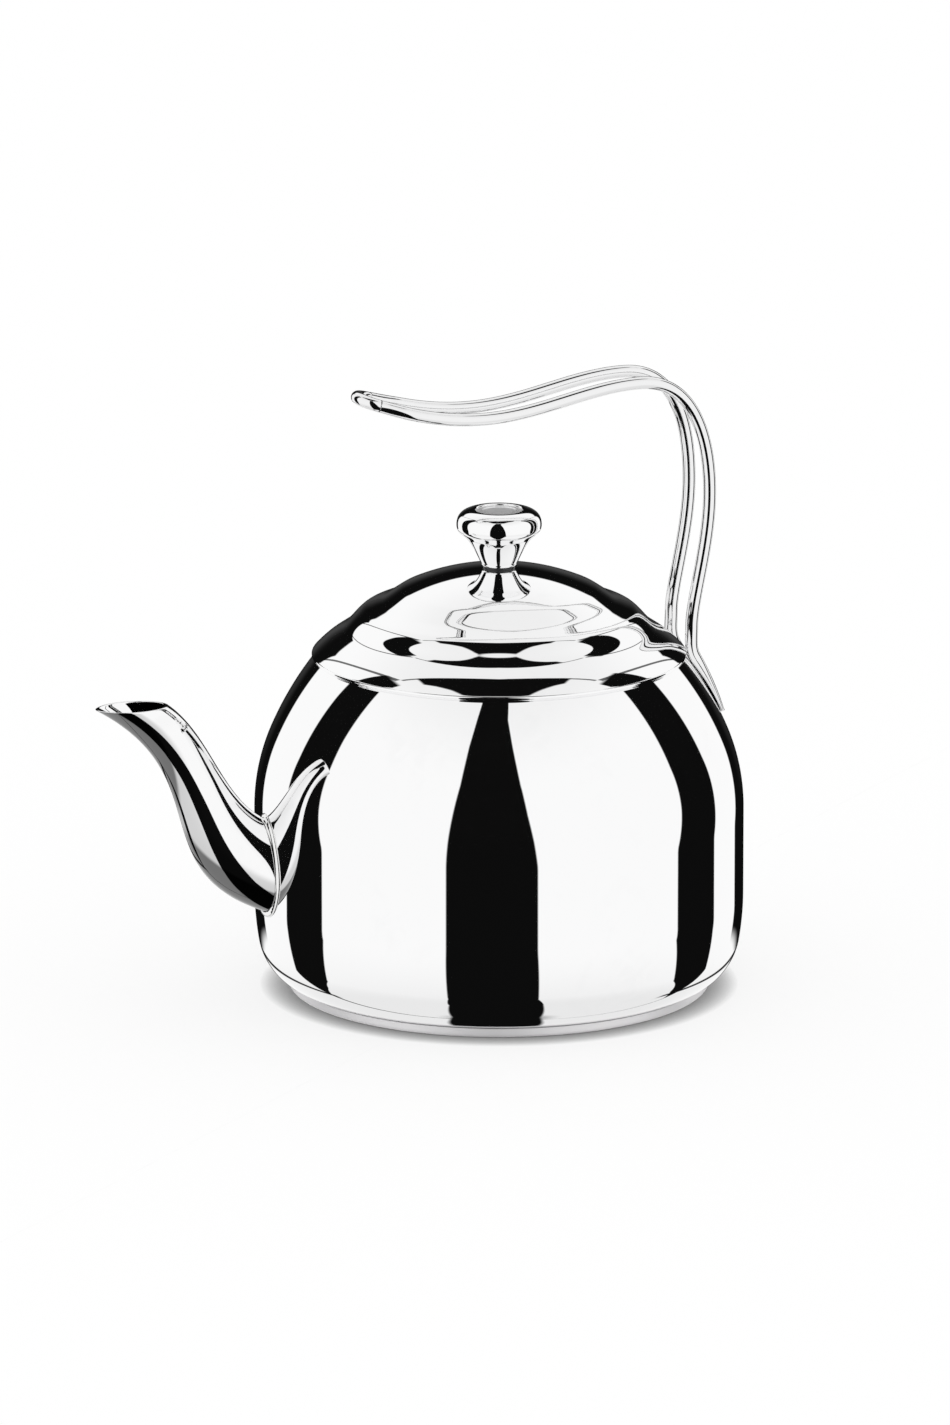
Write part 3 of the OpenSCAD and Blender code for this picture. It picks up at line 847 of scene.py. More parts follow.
@dataclass
class Spout:
    """The drawn gooseneck spout and the bead that welds it to the body.

    A rail's pulls are the shares of its run and rise at which its two middle controls stand.
    The section is an oval, wider towards the low rail near the root (egg) and narrower there
    near the mouth (beak). Near the root it leans on to the body's skin (hug).
    """

    body: Body
    reach: float = 172.0
    mouth_z: float = 128.5
    mouth_len: float = 30.6
    mouth_w: float = 19.0
    throat_w: float = 18.0
    low_pulls: tuple[tuple[float, float], ...] = ((0.74, 0.225), (0.25, 0.65))
    high_pulls: tuple[tuple[float, float], ...] = ((0.46, 0.21), (0.555, 0.73))
    root_swell: float = 2.0
    throat_pull: float = 3.0
    neck_pull: float = 1.0
    run_step: float = 0.02
    least_slant: float = 0.5
    egg: float = 0.16
    egg_run: float = 0.5
    beak: float = 0.3
    beak_start: float = 0.72
    beak_run: float = 0.28
    hug_run: float = 0.35
    length: float = 95.0
    rim_steps: int = 6
    bead_w: float = 2.0
    bead_h: float = 1.0
    bead_round: float = 0.9
    bead_stations: int = 240
    bead_sides: int = 12
    ripples: tuple[tuple[float, float, float], ...] = ((0.012, 60.0, 0.0), (0.03, 7.0, 1.0))
    gap: float = 0.05
    steps: int = 88
    sides: int = 96

    def __post_init__(self) -> None:
        """Work out the two rails that the spout runs between, and its widths on the way."""
        b = self.body
        self.low = self.rail(b.root_low, self.reach, self.low_pulls)
        self.high = self.rail(b.root_high, self.reach - self.mouth_len, self.high_pulls)
        self.widths = [[w] for w in (
            b.root_w, b.root_w + self.root_swell, self.throat_w + self.throat_pull,
            self.throat_w - self.throat_pull, self.throat_w - self.neck_pull, self.mouth_w)]

    def rail(
        self, root_z: float, mouth_x: float, pulls: tuple[tuple[float, float], ...],
    ) -> list[list[float]]:
        """Control points of one rail, in the side view.

        Args:
            root_z: Height at which the rail leaves the body.
            mouth_x: How far from the axis it ends.
            pulls: Shares of the run and of the rise at each middle control.

        Returns:
            The control points, from the body to the mouth.
        """
        skin = self.body.radius_at(root_z)
        run, rise = mouth_x - skin, self.mouth_z - root_z
        return [[-skin, root_z], *([-skin - out * run, root_z + up * rise] for out, up in pulls),
                [-mouth_x, self.mouth_z]]

    def slant(self, chord: np.ndarray, run: np.ndarray) -> float:
        """How squarely a section's chord crosses the spout's run, 1 at a right angle."""
        return max(self.least_slant, abs(chord[0] * run[1] - chord[1] * run[0]))

    def ring(self, t: float, inset: float) -> np.ndarray:
        """Section across the spout.

        Args:
            t: Place along the spout, 0 at the root and 1 at the mouth.
            inset: How far the section lies inside the outer skin.

        Returns:
            Points of the section, one per row.
        """
        b = self.body
        low, high = bezier(self.low, t), bezier(self.high, t)
        after, before = min(1.0, t + self.run_step), max(0.0, t - self.run_step)
        run = unit((bezier(self.low, after) + bezier(self.high, after)
                    - bezier(self.low, before) - bezier(self.high, before)) / 2)
        chord, half = unit(high - low), float(np.linalg.norm(high - low)) / 2
        a = np.radians(np.arange(self.sides) * 360 / self.sides)
        p = (low + high) / 2 + np.outer(np.cos(a), chord) * (half - inset / self.slant(chord, run))
        egg = 1 - self.egg * (1 - smooth(t / self.egg_run)) * np.cos(a)
        drawn = self.beak * smooth((t - self.beak_start) / self.beak_run)
        beak = 1 - drawn * np.maximum(0, -np.cos(a)) ** 3
        y = (bezier(self.widths, t)[0] / 2 - inset) * np.sin(a) * egg * beak
        root_low, root_high = np.array(self.low[0]), np.array(self.high[0])
        share = (np.cos(a) * (1 - 2 * inset / (b.root_high - b.root_low)) + 1) / 2
        root = root_low + np.outer(share, root_high - root_low)
        skin = np.array([b.radius_at(z) for z in root[:, 1]])
        lean = -np.sqrt(skin**2 - y**2) - self.gap - root[:, 0]
        hug = max(0.0, 1 - t / self.hug_run) ** 2
        return np.stack([p[:, 0] + lean * hug, y, p[:, 1]], axis=1)

    def build(self) -> None:
        """Make the spout with its rounded mouth rim, and the bead round its root."""
        wall = self.body.wall
        skin = [self.ring(i / self.steps, 0.0) for i in range(self.steps)]
        turn = np.radians(np.linspace(0, 180, self.rim_steps + 1))
        end_run = 0.5 * wall / self.length
        rim = [self.ring(1 - end_run * (1 - math.sin(v)), wall / 2 * (1 - math.cos(v)))
               for v in turn]
        inside = [self.ring(i / self.steps, wall) for i in range(self.steps - 1, -1, -1)]
        spout = loft("spout_skin", skin + rim + inside, closed=True, sharp=50)
        dress(spout, Finish.SPOUT)
        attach(spout, "kettle"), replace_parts(spout, "spout"), spout
        log.info("spout: %d faces", len(spout.data.polygons))

        rings = [self.bead_section(360 * i / self.bead_stations)
                 for i in range(self.bead_stations)]
        bead = loft("spout_bead", rings, closed=True, sharp=60)
        dress(bead, Finish.WELD)
        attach(bead, "kettle"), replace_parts(bead, "spout_weld"), bead
        log.info("spout weld: %d faces", len(bead.data.polygons))

    def bead_section(self, angle: float) -> np.ndarray:
        """Section of the low, slightly uneven ridge of weld in the corner at the root.

        Args:
            angle: Angle round the root in degrees.

        Returns:
            Points of the section in space, one per row.
        """
        swell = 1 + sum(size * math.sin(math.radians(angle) * count + start)
                        for size, count, start in self.ripples)
        toe, width, height = 2 * self.gap, self.bead_w * swell, self.bead_h * swell
        section = [(toe, self.gap), (width, self.gap)]
        for k in range(1, self.bead_sides):
            v = math.radians(90 * k / self.bead_sides)
            section.append((toe + (width - toe) * math.cos(v) ** self.bead_round,
                            self.gap + (height - self.gap) * math.sin(v)))
        section.append((toe, height))
        return np.array([self.bead_point(angle, out, off) for out, off in section])

    def bead_point(self, angle: float, out: float, off: float) -> np.ndarray:
        """Point of the bead.

        Args:
            angle: Angle round the root in degrees.
            out: Distance out from the spout's skin.
            off: Distance off the body.

        Returns:
            The point in space.
        """
        b = self.body
        low, high = np.array(self.low[0]), np.array(self.high[0])
        middle, chord = (low + high) / 2, unit(high - low)
        half = float(np.linalg.norm(high - low)) / 2
        after = (bezier(self.low, self.run_step) + bezier(self.high, self.run_step)) / 2
        slant = self.slant(chord, unit(after - middle))
        z = (middle + chord * (half + out / slant) * cos(angle))[1]
        y = (b.root_w / 2 + out) * sin(angle) * (1 - self.egg * cos(angle))
        return np.array([-math.sqrt(b.radius_at(z) ** 2 - y * y) - off, y, z])


# ---- lid ----------------------------------------------------------------------------------


@dataclass
class Lid:
    """The pressed lid with its rolled hem, and the ring under it.

    Its face is an arc out to the dome's edge. From there to the hem it falls as steeply as
    `falls` says: pairs of a radius and the slope there in degrees.
    """

    body: Body
    lap: float = 8.4
    hem_r: float = 0.85
    hem_tuck: float = 0.96
    rim_fall: float = 45.37
    dome_fall: float = 24.5
    dome_r: float = 94.25
    apex: float = 175.09
    falls: tuple[tuple[float, float], ...] = (
        (39.1, 24.5), (41.6, 33.5), (46.4, 33.5), (49.2, 22.6), (54.3, 22.0), (55.2, 27.0),
        (56.1, 36.6), (57.4, 43.5), (59.0, 47.6), (60.4, 49.9), (61.1, 48.9), (62.4, 45.0),
        (63.6, 39.0), (64.6, 35.0), (66.5, 33.6), (68.8, 34.2), (70.2, 37.2), (72.0, 41.0),
        (74.0, 44.4), (76.2, 48.2))
    tier_rows: int = 160
    blur_rows: int = 7
    inner_tier_r: float = 56.0
    seat_gap: float = 0.3
    hole_r: float = 2.3
    segments: int = 360

    def __post_init__(self) -> None:
        """Work out where the lid sits on the crown."""
        b = self.body
        self.radius = b.mouth_d / 2 + self.lap
        hem_x, seat = self.radius - self.hem_r, b.crown_r + self.hem_r + self.seat_gap
        self.hem_a = math.degrees(math.acos((hem_x - b.crown_c[0]) / seat))
        self.hem_c = np.array([hem_x, b.crown_c[1] + seat * sin(self.hem_a)])
        self.hem_off = self.hem_r * self.hem_tuck
        self.dome_z = self.apex - self.dome_r

    def dome_at(self, radius: float) -> float:
        """Height of the dome at a radius."""
        return self.dome_z + math.sqrt(self.dome_r**2 - radius**2)

    def outline(self) -> np.ndarray:
        """Outer face of the lid from the screw's hole to the start of the hem.

        Outside the dome the height is counted up from the hem by the slope at each radius. What
        is then missing at the dome's edge is spread over the inner tier.

        Returns:
            Radius and height of each point.
        """
        hole = 90 - math.degrees(math.asin(self.hole_r / self.dome_r))
        dome = arc([0.0, self.dome_z], self.dome_r, hole, 90 - self.dome_fall, step=0.75)
        join = self.hem_c + polar(self.hem_off, 90 - self.rim_fall)
        radii = np.linspace(join[0], dome[-1, 0], self.tier_rows)
        fall = np.interp(radii, [r for r, _ in self.falls], [f for _, f in self.falls])
        blur = np.full(self.blur_rows, 1 / self.blur_rows)
        fall = np.convolve(np.pad(fall, self.blur_rows // 2, mode="edge"), blur, mode="valid")
        slope = np.tan(np.radians(fall))
        steps = (slope[1:] + slope[:-1]) / 2 * -np.diff(radii)
        rise = np.concatenate([[0.0], np.cumsum(steps)])
        missing = dome[-1, 1] - join[1] - rise[-1]
        share = smooth((self.inner_tier_r - radii) / (self.inner_tier_r - dome[-1, 0]))
        height = join[1] + rise + missing * share
        return np.vstack([dome[:-1], np.stack([radii, height], axis=1)[::-1]])

    def build(self) -> None:
        """Make the lid's shell and dress it and the ring under it."""
        outer, wall, out = self.outline(), self.body.wall, 90 - self.rim_fall
        inner = sheet(outer, -wall)
        start = out + math.degrees(math.acos(self.hem_off / self.hem_r))
        end = out + math.degrees(math.acos((self.hem_off - wall) / self.hem_r)) - 360
        curl = arc(self.hem_c, self.hem_r, start, end, step=8)
        lid = revolve("lid", np.vstack([outer[:-1], curl, inner[-2::-1]]), self.segments)
        dress(lid, Finish.MIRROR)
        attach(lid, "lid"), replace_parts(lid, "lid_shell"), lid
        dress(frame["nodes"]["lid_ring"], Finish.SATIN)
        log.info("lid: %d faces", len(lid.data.polygons))


# ---- knob ---------------------------------------------------------------------------------


@dataclass
class Knob:
    """The turned knob with its dark spacer, a plain disc in its top, and its screw.

    Hip and side are points of the grip's outline, and the pulls are the controls of the
    curves below, between and above them: shares of its widest radius and of its height.
    """

    lid: Lid
    diameter: float = 34.7
    height: float = 23.4
    waist_d: float = 14.9
    hip: tuple[float, float] = (0.772, 0.5)
    side: tuple[float, float] = (1.0, 0.726)
    hip_pulls: tuple[tuple[float, float], ...] = ((0.507, 0.16), (0.594, 0.35))
    side_pulls: tuple[tuple[float, float], ...] = ((0.9, 0.59), (1.0, 0.615))
    brow_pulls: tuple[tuple[float, float], ...] = ((1.004, 0.863), (0.91, 0.98))
    foot_r: float = 1.2
    spacer_t: float = 0.9
    spacer_inset: float = 0.9
    spacer_edge_r: float = 0.25
    bore_r: float = 2.3
    tap_r: float = 2.05
    tap_share: float = 0.4
    cap_d: float = 19.0
    cap_depth: float = 1.6
    cap_land: float = 1.4
    cap_edge_r: float = 0.6
    disc_drop: float = 0.5
    disc_edge_r: float = 0.3
    disc_crest: float = 2.1
    disc_rim: float = 2.6
    disc_hollow: float = 0.25
    gap: float = 0.05
    segments: int = 192

    def __post_init__(self) -> None:
        """Work out the heights of the stacked pieces."""
        self.spacer_r = self.waist_d / 2 - self.spacer_inset
        self.low = self.lid.dome_at(self.spacer_r) + self.gap + self.spacer_t
        self.top = self.low + self.height

    def build(self) -> None:
        """Make the spacer, the knob and its disc, and dress the fixings."""
        for name, node, outline, finish, slot in (
            ("knob_heat_break", "knob_spacer", self.spacer_outline(), Finish.SPACER, "spacer"),
            ("knob_grip", "knob_head", self.outline(), Finish.MIRROR, "knob_steel"),
            ("knob_disc", "knob_cap", self.cap_outline(), Finish.SPUN, "cap_steel"),
        ):
            piece = revolve(name, outline, self.segments)
            dress(piece, finish)
            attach(piece, "lid"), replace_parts(piece, node), piece
            log.info("%s: %d faces", name, len(piece.data.polygons))
        for node in ("knob_screw", "knob_washer"):
            dress(frame["nodes"][node], Finish.SATIN)

    def spacer_outline(self) -> np.ndarray:
        """Section of the spacer, which follows the dome below it.

        Returns:
            Radius and height of each point.
        """
        radii, edge = np.linspace(self.bore_r, self.spacer_r, num=7), self.spacer_edge_r
        return np.vstack([
            [[r, self.lid.dome_at(r) + self.gap] for r in radii],
            arc([self.spacer_r - edge, self.low - edge], edge, 0, 90, step=15),
            [[self.bore_r, self.low]],
        ])

    def on_knob(self, *shares: tuple[float, float]) -> list[list[float]]:
        """Points at shares of the widest radius and of the height."""
        return [[r * self.diameter / 2, self.low + h * self.height] for r, h in shares]

    def outline(self) -> np.ndarray:
        """Section of the knob from its bottom edge to the place for the disc.

        Returns:
            Radius and height of each point.
        """
        waist, cap, edge = self.waist_d / 2, self.cap_d / 2, self.cap_edge_r
        foot, tap = self.low + self.foot_r, self.low + self.height * self.tap_share
        brow, seat = [cap + self.cap_land, self.top], self.top - self.cap_depth
        low_curve = [[waist, foot], *self.on_knob(*self.hip_pulls, self.hip)]
        mid_curve = self.on_knob(self.hip, *self.side_pulls, self.side)
        top_curve = [*self.on_knob(self.side, *self.brow_pulls), brow]
        return np.vstack([
            arc([waist - self.foot_r, foot], self.foot_r, -90, -8, step=8),
            bezier_path(low_curve, steps=40),
            bezier_path(mid_curve, steps=36, skip_first=True),
            bezier_path(top_curve, steps=40, skip_first=True),
            arc([cap + edge, self.top - edge], edge, 90, 180, step=10),
            [[cap, seat], [0.0, seat], [0.0, tap], [self.tap_r, tap], [self.tap_r, self.low]],
        ])

    def cap_outline(self) -> np.ndarray:
        """Section of the plain disc in the knob, with its raised rim.

        Returns:
            Radius and height of each point.
        """
        r, z, edge = self.cap_d / 2 - self.gap, self.top - self.cap_depth, self.disc_edge_r
        crest = z + (self.cap_depth - self.disc_drop)
        hollow = crest - self.disc_hollow
        return np.vstack([
            [[0.0, z], [r, z]],
            arc([r - edge, crest - edge], edge, 0, 90, step=15),
            arc([r - self.disc_crest, crest - edge], edge, 90, 150, step=15),
            [[r - self.disc_rim, hollow], [0.0, hollow]],
        ])


# ---- handle -------------------------------------------------------------------------------


@dataclass
class Handle:
    """One round rod bent into a long loop, with its two ends flattened on the crown.

    In the side view the rod runs from the nose over the grip to a hump, round a bend, down a
    drop and through a short lead to its foot. Pulls are shares of the way between two ends at
    which a curve's controls stand, and arms are how far the lead's controls are from its ends.
    """

    body: Body
    lid: Lid
    knob: Knob
    rod_d: float = 5.15
    pitch_front: float = 15.0
    pitch_grip: float = 22.0
    pitch_rear: float = 26.0
    part_start: float = 0.03
    part_run: float = 0.16
    hand_gap: float = 38.2
    nose_reach: float = 60.0
    nose_rise: float = 9.8
    nose_step: float = 0.03
    grip_pulls: tuple[float, float, float] = (0.55, 0.12, 0.39)
    hump_rise: float = 10.2
    hump_share: float = 0.665
    rear_reach: float = 86.0
    bend_share: float = 0.46
    bend_pulls: tuple[float, float] = (0.75, 0.49)
    drop_pulls: tuple[float, float] = (0.4, 0.79)
    neck_rise: float = 8.7
    lead_arms: tuple[float, float] = (5.0, 4.5)
    lift_gap: float = 0.6
    foot_gap: float = 7.1
    foot_z: float = 110.0
    foot_t: float = 2.0
    foot_w: float = 8.4
    foot_step: float = 0.04
    press_rate: float = 1.05
    widen_run: float = 0.55
    toe_start: float = 0.62
    toe_run: float = 0.385
    toe_least: float = 0.02
    gap: float = 0.05
    near: float = 0.01
    grip_first: int = 6
    grip_steps: int = 110
    bend_steps: int = 30
    drop_steps: int = 30
    lead_steps: int = 14
    foot_steps: int = 48
    nose_steps: int = 36
    sides: int = 40

    def __post_init__(self) -> None:
        """Work out the control points of the side view."""
        b, lid, nose = self.body, self.lid, self.nose_reach
        self.rod_r, self.leg_y = self.rod_d / 2, self.pitch_rear / 2
        self.loop_r, rear = self.pitch_front / 2, self.rear_reach
        grip_z = self.knob.top + self.hand_gap + self.rod_r
        hump_z, hump_x = grip_z + self.hump_rise, self.hump_share * rear
        neck_z = lid.hem_c[1] + self.neck_rise
        neck_x = math.sqrt((lid.radius + self.lift_gap + self.rod_r) ** 2 - self.leg_y**2)
        bend_z = mix(hump_z, neck_z, self.bend_share)
        self.foot_end_a = math.degrees(math.asin((self.foot_z - b.crown_c[1]) / b.crown_r))
        self.foot_top_a = lid.hem_a - math.degrees(self.foot_gap / b.crown_r)
        foot = self.foot_mid(0.0)
        away = unit(foot - self.foot_mid(self.foot_step))
        back, up, on = self.grip_pulls
        self.grip = [[-nose, grip_z + self.nose_rise], [-back * nose, grip_z + up * self.nose_rise],
                     [0, grip_z - self.hump_rise], [on * hump_x, hump_z], [hump_x, hump_z]]
        out, down = self.bend_pulls
        self.bend = [[hump_x, hump_z], [mix(hump_x, rear, out), hump_z],
                     [rear, mix(hump_z, bend_z, down)], [rear, bend_z]]
        first, second = self.drop_pulls
        self.drop = [[rear, bend_z], [rear, mix(bend_z, neck_z, first)],
                     [neck_x, mix(bend_z, neck_z, second)], [neck_x, neck_z]]
        down, off = self.lead_arms
        self.lead = [[neck_x, neck_z], [neck_x, neck_z - down], foot + away * off, foot]
        start = np.array(self.grip[0])
        self.nose_way = unit(bezier(self.grip, self.nose_step) - start)
        self.nose_end = start[0] + self.nose_way[0] * self.loop_r + self.near

    def foot_half(self, u: float) -> float:
        """Half the thickness of the foot at share u of its length."""
        return mix(self.rod_r, self.foot_t / 2, min(1.0, u * self.press_rate))

    def foot_half_w(self, u: float) -> float:
        """Half the width of the foot.

        Args:
            u: Share of the foot's length.

        Returns:
            Half the width there.
        """
        toe = 1 - (max(0.0, u - self.toe_start) / self.toe_run) ** 2
        widest = mix(self.rod_r, self.foot_w / 2, float(smooth(u / self.widen_run)))
        return widest * math.sqrt(max(self.toe_least, toe))

    def foot_mid(self, u: float) -> np.ndarray:
        """Middle line of the foot in the side view, a little off the crown.

        Args:
            u: Share of the foot's length.

        Returns:
            Distance from the axis along X, and height.
        """
        b, angle = self.body, mix(self.foot_top_a, self.foot_end_a, u)
        p = b.crown_c + polar(b.crown_r + self.foot_half(u) + self.gap, angle)
        return np.array([math.sqrt(p[0] ** 2 - self.leg_y**2), p[1]])

    def stations(self) -> np.ndarray:
        """Middle line of the rod from foot to foot.

        Returns:
            Rows of x, y, z and the share of the foot, which is 0 off the feet.
        """
        grip_y, rows = self.pitch_grip / 2, []
        for i in range(self.grip_first, self.grip_steps + 1):
            t = i / self.grip_steps
            x, z = bezier(self.grip, t)
            part = float(smooth((t - self.part_start) / self.part_run))
            rows.append([x, mix(self.loop_r, grip_y, part), z, 0.0])
        for i in range(1, self.bend_steps + 1):
            t = i / self.bend_steps
            x, z = bezier(self.bend, t)
            rows.append([x, mix(grip_y, self.leg_y, float(smooth(t))), z, 0.0])
        for controls, steps in ((self.drop, self.drop_steps), (self.lead, self.lead_steps)):
            for x, z in bezier_path(controls, steps, skip_first=True):
                rows.append([x, self.leg_y, z, 0.0])
        for i in range(1, self.foot_steps + 1):
            u = i / self.foot_steps
            x, z = self.foot_mid(u)
            rows.append([x, self.leg_y, z, u])
        leg = np.array(rows)
        turn = np.radians(np.linspace(90, 270, self.nose_steps + 1))
        reach, (x, z) = self.loop_r * (1 + np.cos(turn)), self.grip[0]
        loop = np.stack([x + self.nose_way[0] * reach, self.loop_r * np.sin(turn),
                         z + self.nose_way[1] * reach, 0 * turn], axis=1)
        return np.vstack([leg[::-1], loop, leg * [1, -1, 1, 1]])

    def build(self) -> None:
        """Sweep the rod's section along its line."""
        line = self.stations()
        points = line[:, :3]
        run = unit(np.vstack([points[1:], points[-1:]]) - np.vstack([points[:1], points[:-1]]))
        turn = np.radians(np.arange(self.sides) * 360 / self.sides)
        rings = []
        for station, way in zip(line, run):
            thick = self.face_away(station, way)
            thick = unit(thick - way * float(way @ thick))
            wide = np.cross(way, thick)
            u = station[3]
            high, half_w = (self.foot_half(u), self.foot_half_w(u)) if u > 0 else (self.rod_r,) * 2
            rings.append(station[:3] + np.outer(np.cos(turn) * high, thick)
                         + np.outer(np.sin(turn) * half_w, wide))
        rod = loft("handle", rings, closed=False, sharp=60)
        dress(rod, Finish.ROD)
        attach(rod, "kettle"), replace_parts(rod, "handle_rod"), rod
        log.info("handle: %d faces", len(rod.data.polygons))

    def face_away(self, station: np.ndarray, way: np.ndarray) -> np.ndarray:
        """Side of the rod that faces away from the lid.

        Args:
            station: Row of x, y, z and foot share.
            way: Direction of the rod there.

        Returns:
            A direction, not yet square to the rod.
        """
        x, y, z, u = station
        if u > 0:
            r, crown_c = math.hypot(x, y), self.body.crown_c
            return np.array([x, y, (z - crown_c[1]) * r / (r - crown_c[0])])
        if abs(y) < self.loop_r + self.near and x < self.nose_end:
            return np.array([-self.nose_way[1], 0.0, self.nose_way[0]])
        return np.cross([0.0, 1.0, 0.0], way) * math.copysign(1.0, y)


# ---- studio -------------------------------------------------------------------------------


class Tent:
    """What polished metal sees around it: white cloth, dark boards and a pale table.

    A direction is read as a turn and a height in degrees, both as seen from the kettle, and as
    its reach to the side and ahead for each unit of rise, in which straight edges stay straight.
    An edge is a row of places along one of these, each with where the edge is there.
    """

    # The front board's sides by height, its span of heights, and its foot by reach ahead.
    FRONT_LEFT = ((-50, -31), (-37, -27), (-15, -25), (0, -23.8), (30, -21), (45, -19.2),
                  (55, -17), (62, -15), (66, -17))
    FRONT_RIGHT = ((-50, 27), (-37, 20.9), (-15, 18.2), (0, 16.2), (15, 13.8), (30, 12),
                   (45, 8.8), (55, 7), (62, 9), (66, 15))
    FRONT_SPAN = (-53.0, 65.5)
    FOOT_LEFT = ((-0.9, -0.08), (0.0, -0.205), (0.75, -0.43))
    FOOT_RIGHT = ((-0.9, 0.07), (0.0, 0.18), (0.75, 0.38))
    FOOT_TOP = -50.0

    # The far and near edges of the two side boards by height, and where they stop.
    LEFT_FAR = ((-45, -123), (-17, -120), (25, -118.6), (38, -117))
    LEFT_NEAR = ((-45, -120), (-38.7, -107.5), (-30, -97.5), (-17, -92), (0, -94), (25, -96))
    RIGHT_NEAR = ((-47, 130), (-42.5, 117.5), (-30, 100), (-17, 93), (0, 95.5), (38, 99))
    RIGHT_FAR = ((-47, 131), (-40, 128.5), (-17, 122.5), (25, 121.7))
    SIDE_REACH, SIDE_LOW = 0.72, 8.0

    # The back board: where it begins, its lowest and highest level edge, and its slanting top.
    BACK_TURN, BACK_FOOT, BACK_TOP, BACK_SLANT = 148.0, -18.0, 2.0, -0.488

    # The ceiling: the opening's sides by reach ahead, its ends, and the cloth's rim.
    GAP_LEFT = ((-0.12, -0.5), (0.0, -0.5), (0.07, -0.42), (0.18, -0.33), (0.36, -0.24),
                (0.45, -0.14))
    GAP_RIGHT = ((-0.12, 0.42), (0.0, 0.42), (0.07, 0.36), (0.18, 0.29), (0.36, 0.20),
                 (0.45, 0.12))
    GAP_NEAR, GAP_FAR = ((0.0, -0.07), (1.0, -0.25)), 0.394
    SEAM_NEAR = ((0.0, -0.07), (1.5, -0.34))
    SEAM_RIM = ((0.0, 0.57), (0.14, 0.63), (1.4, 1.15), (3.0, 1.8))
    SEAM_SIDE_W, SEAM_NEAR_W, SEAM_DARK = 0.055, 0.03, 0.85

    # The line of shade at the table's back: its height by turn, half its width, its start.
    SHADE_LINE, SHADE_HALF, SHADE_TURN = ((118, -47), (168, -18)), 1.6, 118.0

    # How the table, the shade right under the kettle and the ceiling grey: two heights, and
    # the share of black at each.
    GREYS = ((-50.0, -15.0, 0.15, 0.0), (-84.0, -74.0, 0.85, 0.0), (30.0, 70.0, 0.0, 0.10))

    # The boards, and the faint glow on them low at the back.
    BOARD = (0.004, 0.004, 0.004, 1.0)
    GLOW_TURN, GLOW_HALF, GLOW_SOFT, GLOW = 164.0, 6.0, 9.0, 0.07

    # The least rise that a reach is counted for, and the rise by which the ceiling is whole.
    LEAST_RISE, CEILING_RISE = 0.02, 0.03

    def __init__(self, bench: NodeBench, azimuth: float) -> None:
        """Read the direction that each ray leaves in.

        Args:
            bench: Bench of the world's node tree.
            azimuth: Where the front of the tent is, in degrees.
        """
        self.bench = bench
        way = bench.add("ShaderNodeTexCoord").outputs["Generated"]
        ahead = self.along(way, (sin(azimuth), -cos(azimuth), 0.0))
        aside = self.along(way, (cos(azimuth), sin(azimuth), 0.0))
        up = self.along(way, (0.0, 0.0, 1.0))
        self.turn = bench.math("DEGREES", bench.math("ARCTAN2", aside, ahead))
        self.side = bench.math("ABSOLUTE", self.turn)
        self.height = bench.math("DEGREES", bench.math("ARCSINE", up))
        rise = bench.math("MAXIMUM", up, self.LEAST_RISE)
        self.wide = bench.math("DIVIDE", aside, rise)
        self.reach = bench.math("ABSOLUTE", self.wide)
        self.far = bench.math("DIVIDE", ahead, rise)
        self.above = bench.ramp(up, 0.0, self.CEILING_RISE)
        drop = bench.math("MAXIMUM", bench.math("MULTIPLY", up, -1.0), self.LEAST_RISE)
        self.low_wide = bench.math("DIVIDE", aside, drop)
        self.low_far = bench.math("DIVIDE", ahead, drop)

    def along(
        self, way: bpy.types.NodeSocket, axis: tuple[float, float, float],
    ) -> bpy.types.NodeSocket:
        """Part of a direction that lies along an axis.

        Args:
            way: The direction.
            axis: The axis, of length one.

        Returns:
            Length of that part.
        """
        node = self.bench.add("ShaderNodeVectorMath", {"operation": "DOT_PRODUCT"})
        self.bench.feed(node.inputs[0], way)
        node.inputs[1].default_value = axis
        return node.outputs["Value"]

    def edge(self, value: object, places: tuple[tuple[float, float], ...]) -> object:
        """Edge that runs straight from place to place.

        Args:
            value: What the edge runs along.
            places: Values along it, in rising order, and where the edge is at each.

        Returns:
            Where the edge is.
        """
        total: object = places[0][1]
        for (x0, y0), (x1, y1) in zip(places[:-1], places[1:]):
            node = self.bench.add("ShaderNodeMapRange",
                                  From_Min=x0, From_Max=x1, To_Min=0.0, To_Max=y1 - y0)
            self.bench.feed(node.inputs["Value"], value)
            total = self.bench.math("ADD", total, node.outputs["Result"])
        return total

    def over(self, value: object, limit: object, soft: float) -> bpy.types.NodeSocket:
        """Mask that is 1 where a value is over a limit, with a soft step."""
        past = self.bench.math("SUBTRACT", value, limit)
        return self.bench.ramp(past, -soft, soft)

    def between(
        self, value: object, low: object, high: object, soft: float,
    ) -> bpy.types.NodeSocket:
        """Mask that is 1 where a value lies between two limits."""
        return self.all(self.over(value, low, soft), self.over(high, value, soft))

    def all(self, *masks: object) -> bpy.types.NodeSocket:
        """Mask that is 1 where every mask is."""
        return self.joined("MULTIPLY", masks)

    def any(self, *masks: object) -> bpy.types.NodeSocket:
        """Mask that is 1 where one of the masks is."""
        return self.joined("MAXIMUM", masks)

    def joined(self, operation: str, masks: tuple[object, ...]) -> bpy.types.NodeSocket:
        """Join masks into one.

        Args:
            operation: The Math node that joins two of them.
            masks: The masks, or plain values.

        Returns:
            The joined mask.
        """
        total = masks[0]
        for mask in masks[1:]:
            total = self.bench.math(operation, total, mask)
        return total

